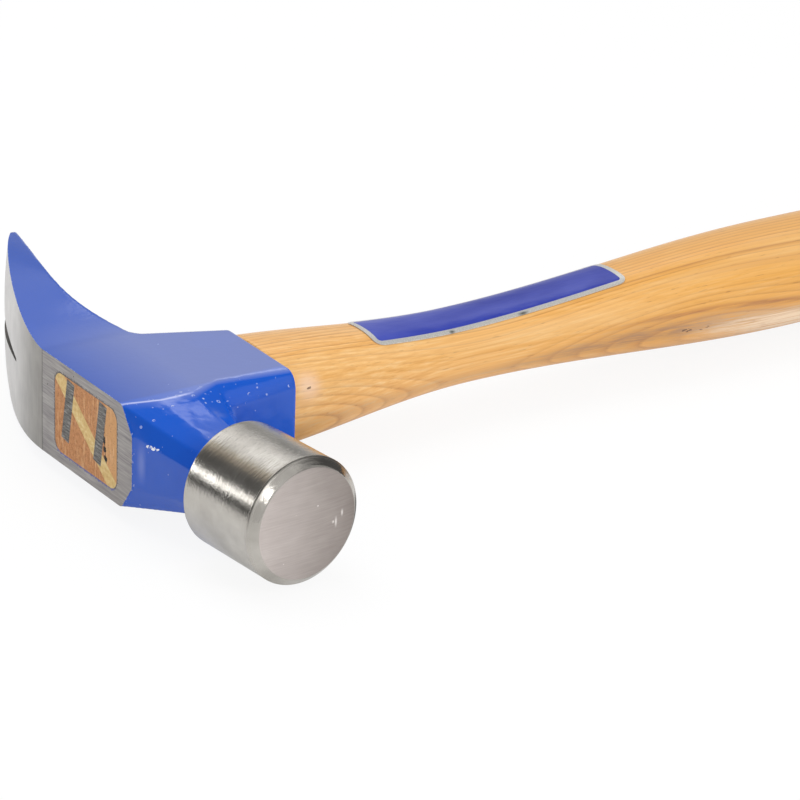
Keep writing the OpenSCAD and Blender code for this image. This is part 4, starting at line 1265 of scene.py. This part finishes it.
    @staticmethod
    def cone(t, where, direction, edge, core):
        """A level that rises from 0 to 1 between two cosines of the angle to a direction."""
        near = put(t, "VectorMath DOT_PRODUCT", where, Vector(direction).normalized(), out="Value")
        return put(t, "MapRange", near, edge, core)

    @staticmethod
    def lamp(name, place, aim, size, power):
        """A square softbox of the given size and power, turned to its aim. Gloss mirrors the
        surround instead of it."""
        light = bpy.data.lights.new(name, "AREA")
        light.size, light.energy = size, power
        o = added(name, light)
        o.location = place
        o.rotation_mode = "QUATERNION"
        o.rotation_quaternion = (Vector(aim) - Vector(place)).to_track_quat("-Z", "Y")
        o.visible_glossy = False

    def camera(self):
        """The photograph's view: from the crown's side, 23.5 degrees above the floor."""
        a, e, r = map(math.radians, self.VIEW_ANGLES)
        back = Vector((math.sin(a) * math.cos(e), -math.cos(a) * math.cos(e), math.sin(e)))
        right = Vector((math.cos(a), math.sin(a), 0))
        up = back.cross(right)
        right, up = (right * math.cos(r) + up * math.sin(r), up * math.cos(r) - right * math.sin(r))
        data = bpy.data.cameras.new("camera")
        data.sensor_width = self.SENSOR
        data.lens = self.FOCAL / self.PICTURE * self.SENSOR
        data.clip_start, data.clip_end = 0.05, 20
        o = added("camera", data)
        distance, aside, above = self.VIEW_SHIFT
        place = Vector(self.AIM) + back * distance + right * aside + up * above
        m = Matrix((right, up, back)).transposed().to_4x4()
        m.translation = place * (FACE_D / self.FITTED_FACE) * MM
        o.matrix_world = m
        bpy.context.scene.camera = o


class HAMMER_PT_panel(bpy.types.Panel):
    """Lists the pieces in the 3D view's sidebar"""
    bl_idname = "HAMMER_PT_panel"
    bl_label = "Framing hammer"
    bl_space_type = "VIEW_3D"
    bl_region_type = "UI"
    bl_category = "Hammer"

    def draw(self, context):
        for group, operators in (("hammer_head", ("hammer.head", "hammer.poll")),
                                 ("hammer_handle", ("hammer.handle", "hammer.wedges")),
                                 ("hammer_label", ("hammer.label",)),
                                 ("hammer_stage", ("hammer.stage",))):
            box = self.layout.box()
            looks = getattr(context.scene, group)
            for key in looks.bl_rna.properties.keys():
                if key not in ("rna_type", "name"):
                    box.prop(looks, key)
            for name in operators:
                box.operator(name)


GROUPS = {"hammer_head": HeadLook, "hammer_handle": HandleLook, "hammer_label": LabelLook,
          "hammer_stage": StageLook}
CLASSES = (*GROUPS.values(), HAMMER_OT_head, HAMMER_OT_poll, HAMMER_OT_handle, HAMMER_OT_wedges,
           HAMMER_OT_label, HAMMER_OT_stage, HAMMER_PT_panel)


def register():
    for cls in CLASSES:
        bpy.utils.register_class(cls)
    for key, cls in GROUPS.items():
        setattr(bpy.types.Scene, key, bpy.props.PointerProperty(type=cls))


def unregister():
    for key in GROUPS:
        delattr(bpy.types.Scene, key)
    for cls in reversed(CLASSES):
        bpy.utils.unregister_class(cls)


def main():
    register()
    for call in (bpy.ops.hammer.head, bpy.ops.hammer.poll, bpy.ops.hammer.handle,
                 bpy.ops.hammer.wedges, bpy.ops.hammer.label, bpy.ops.hammer.stage):
        call()


if __name__ == "__main__":
    main()
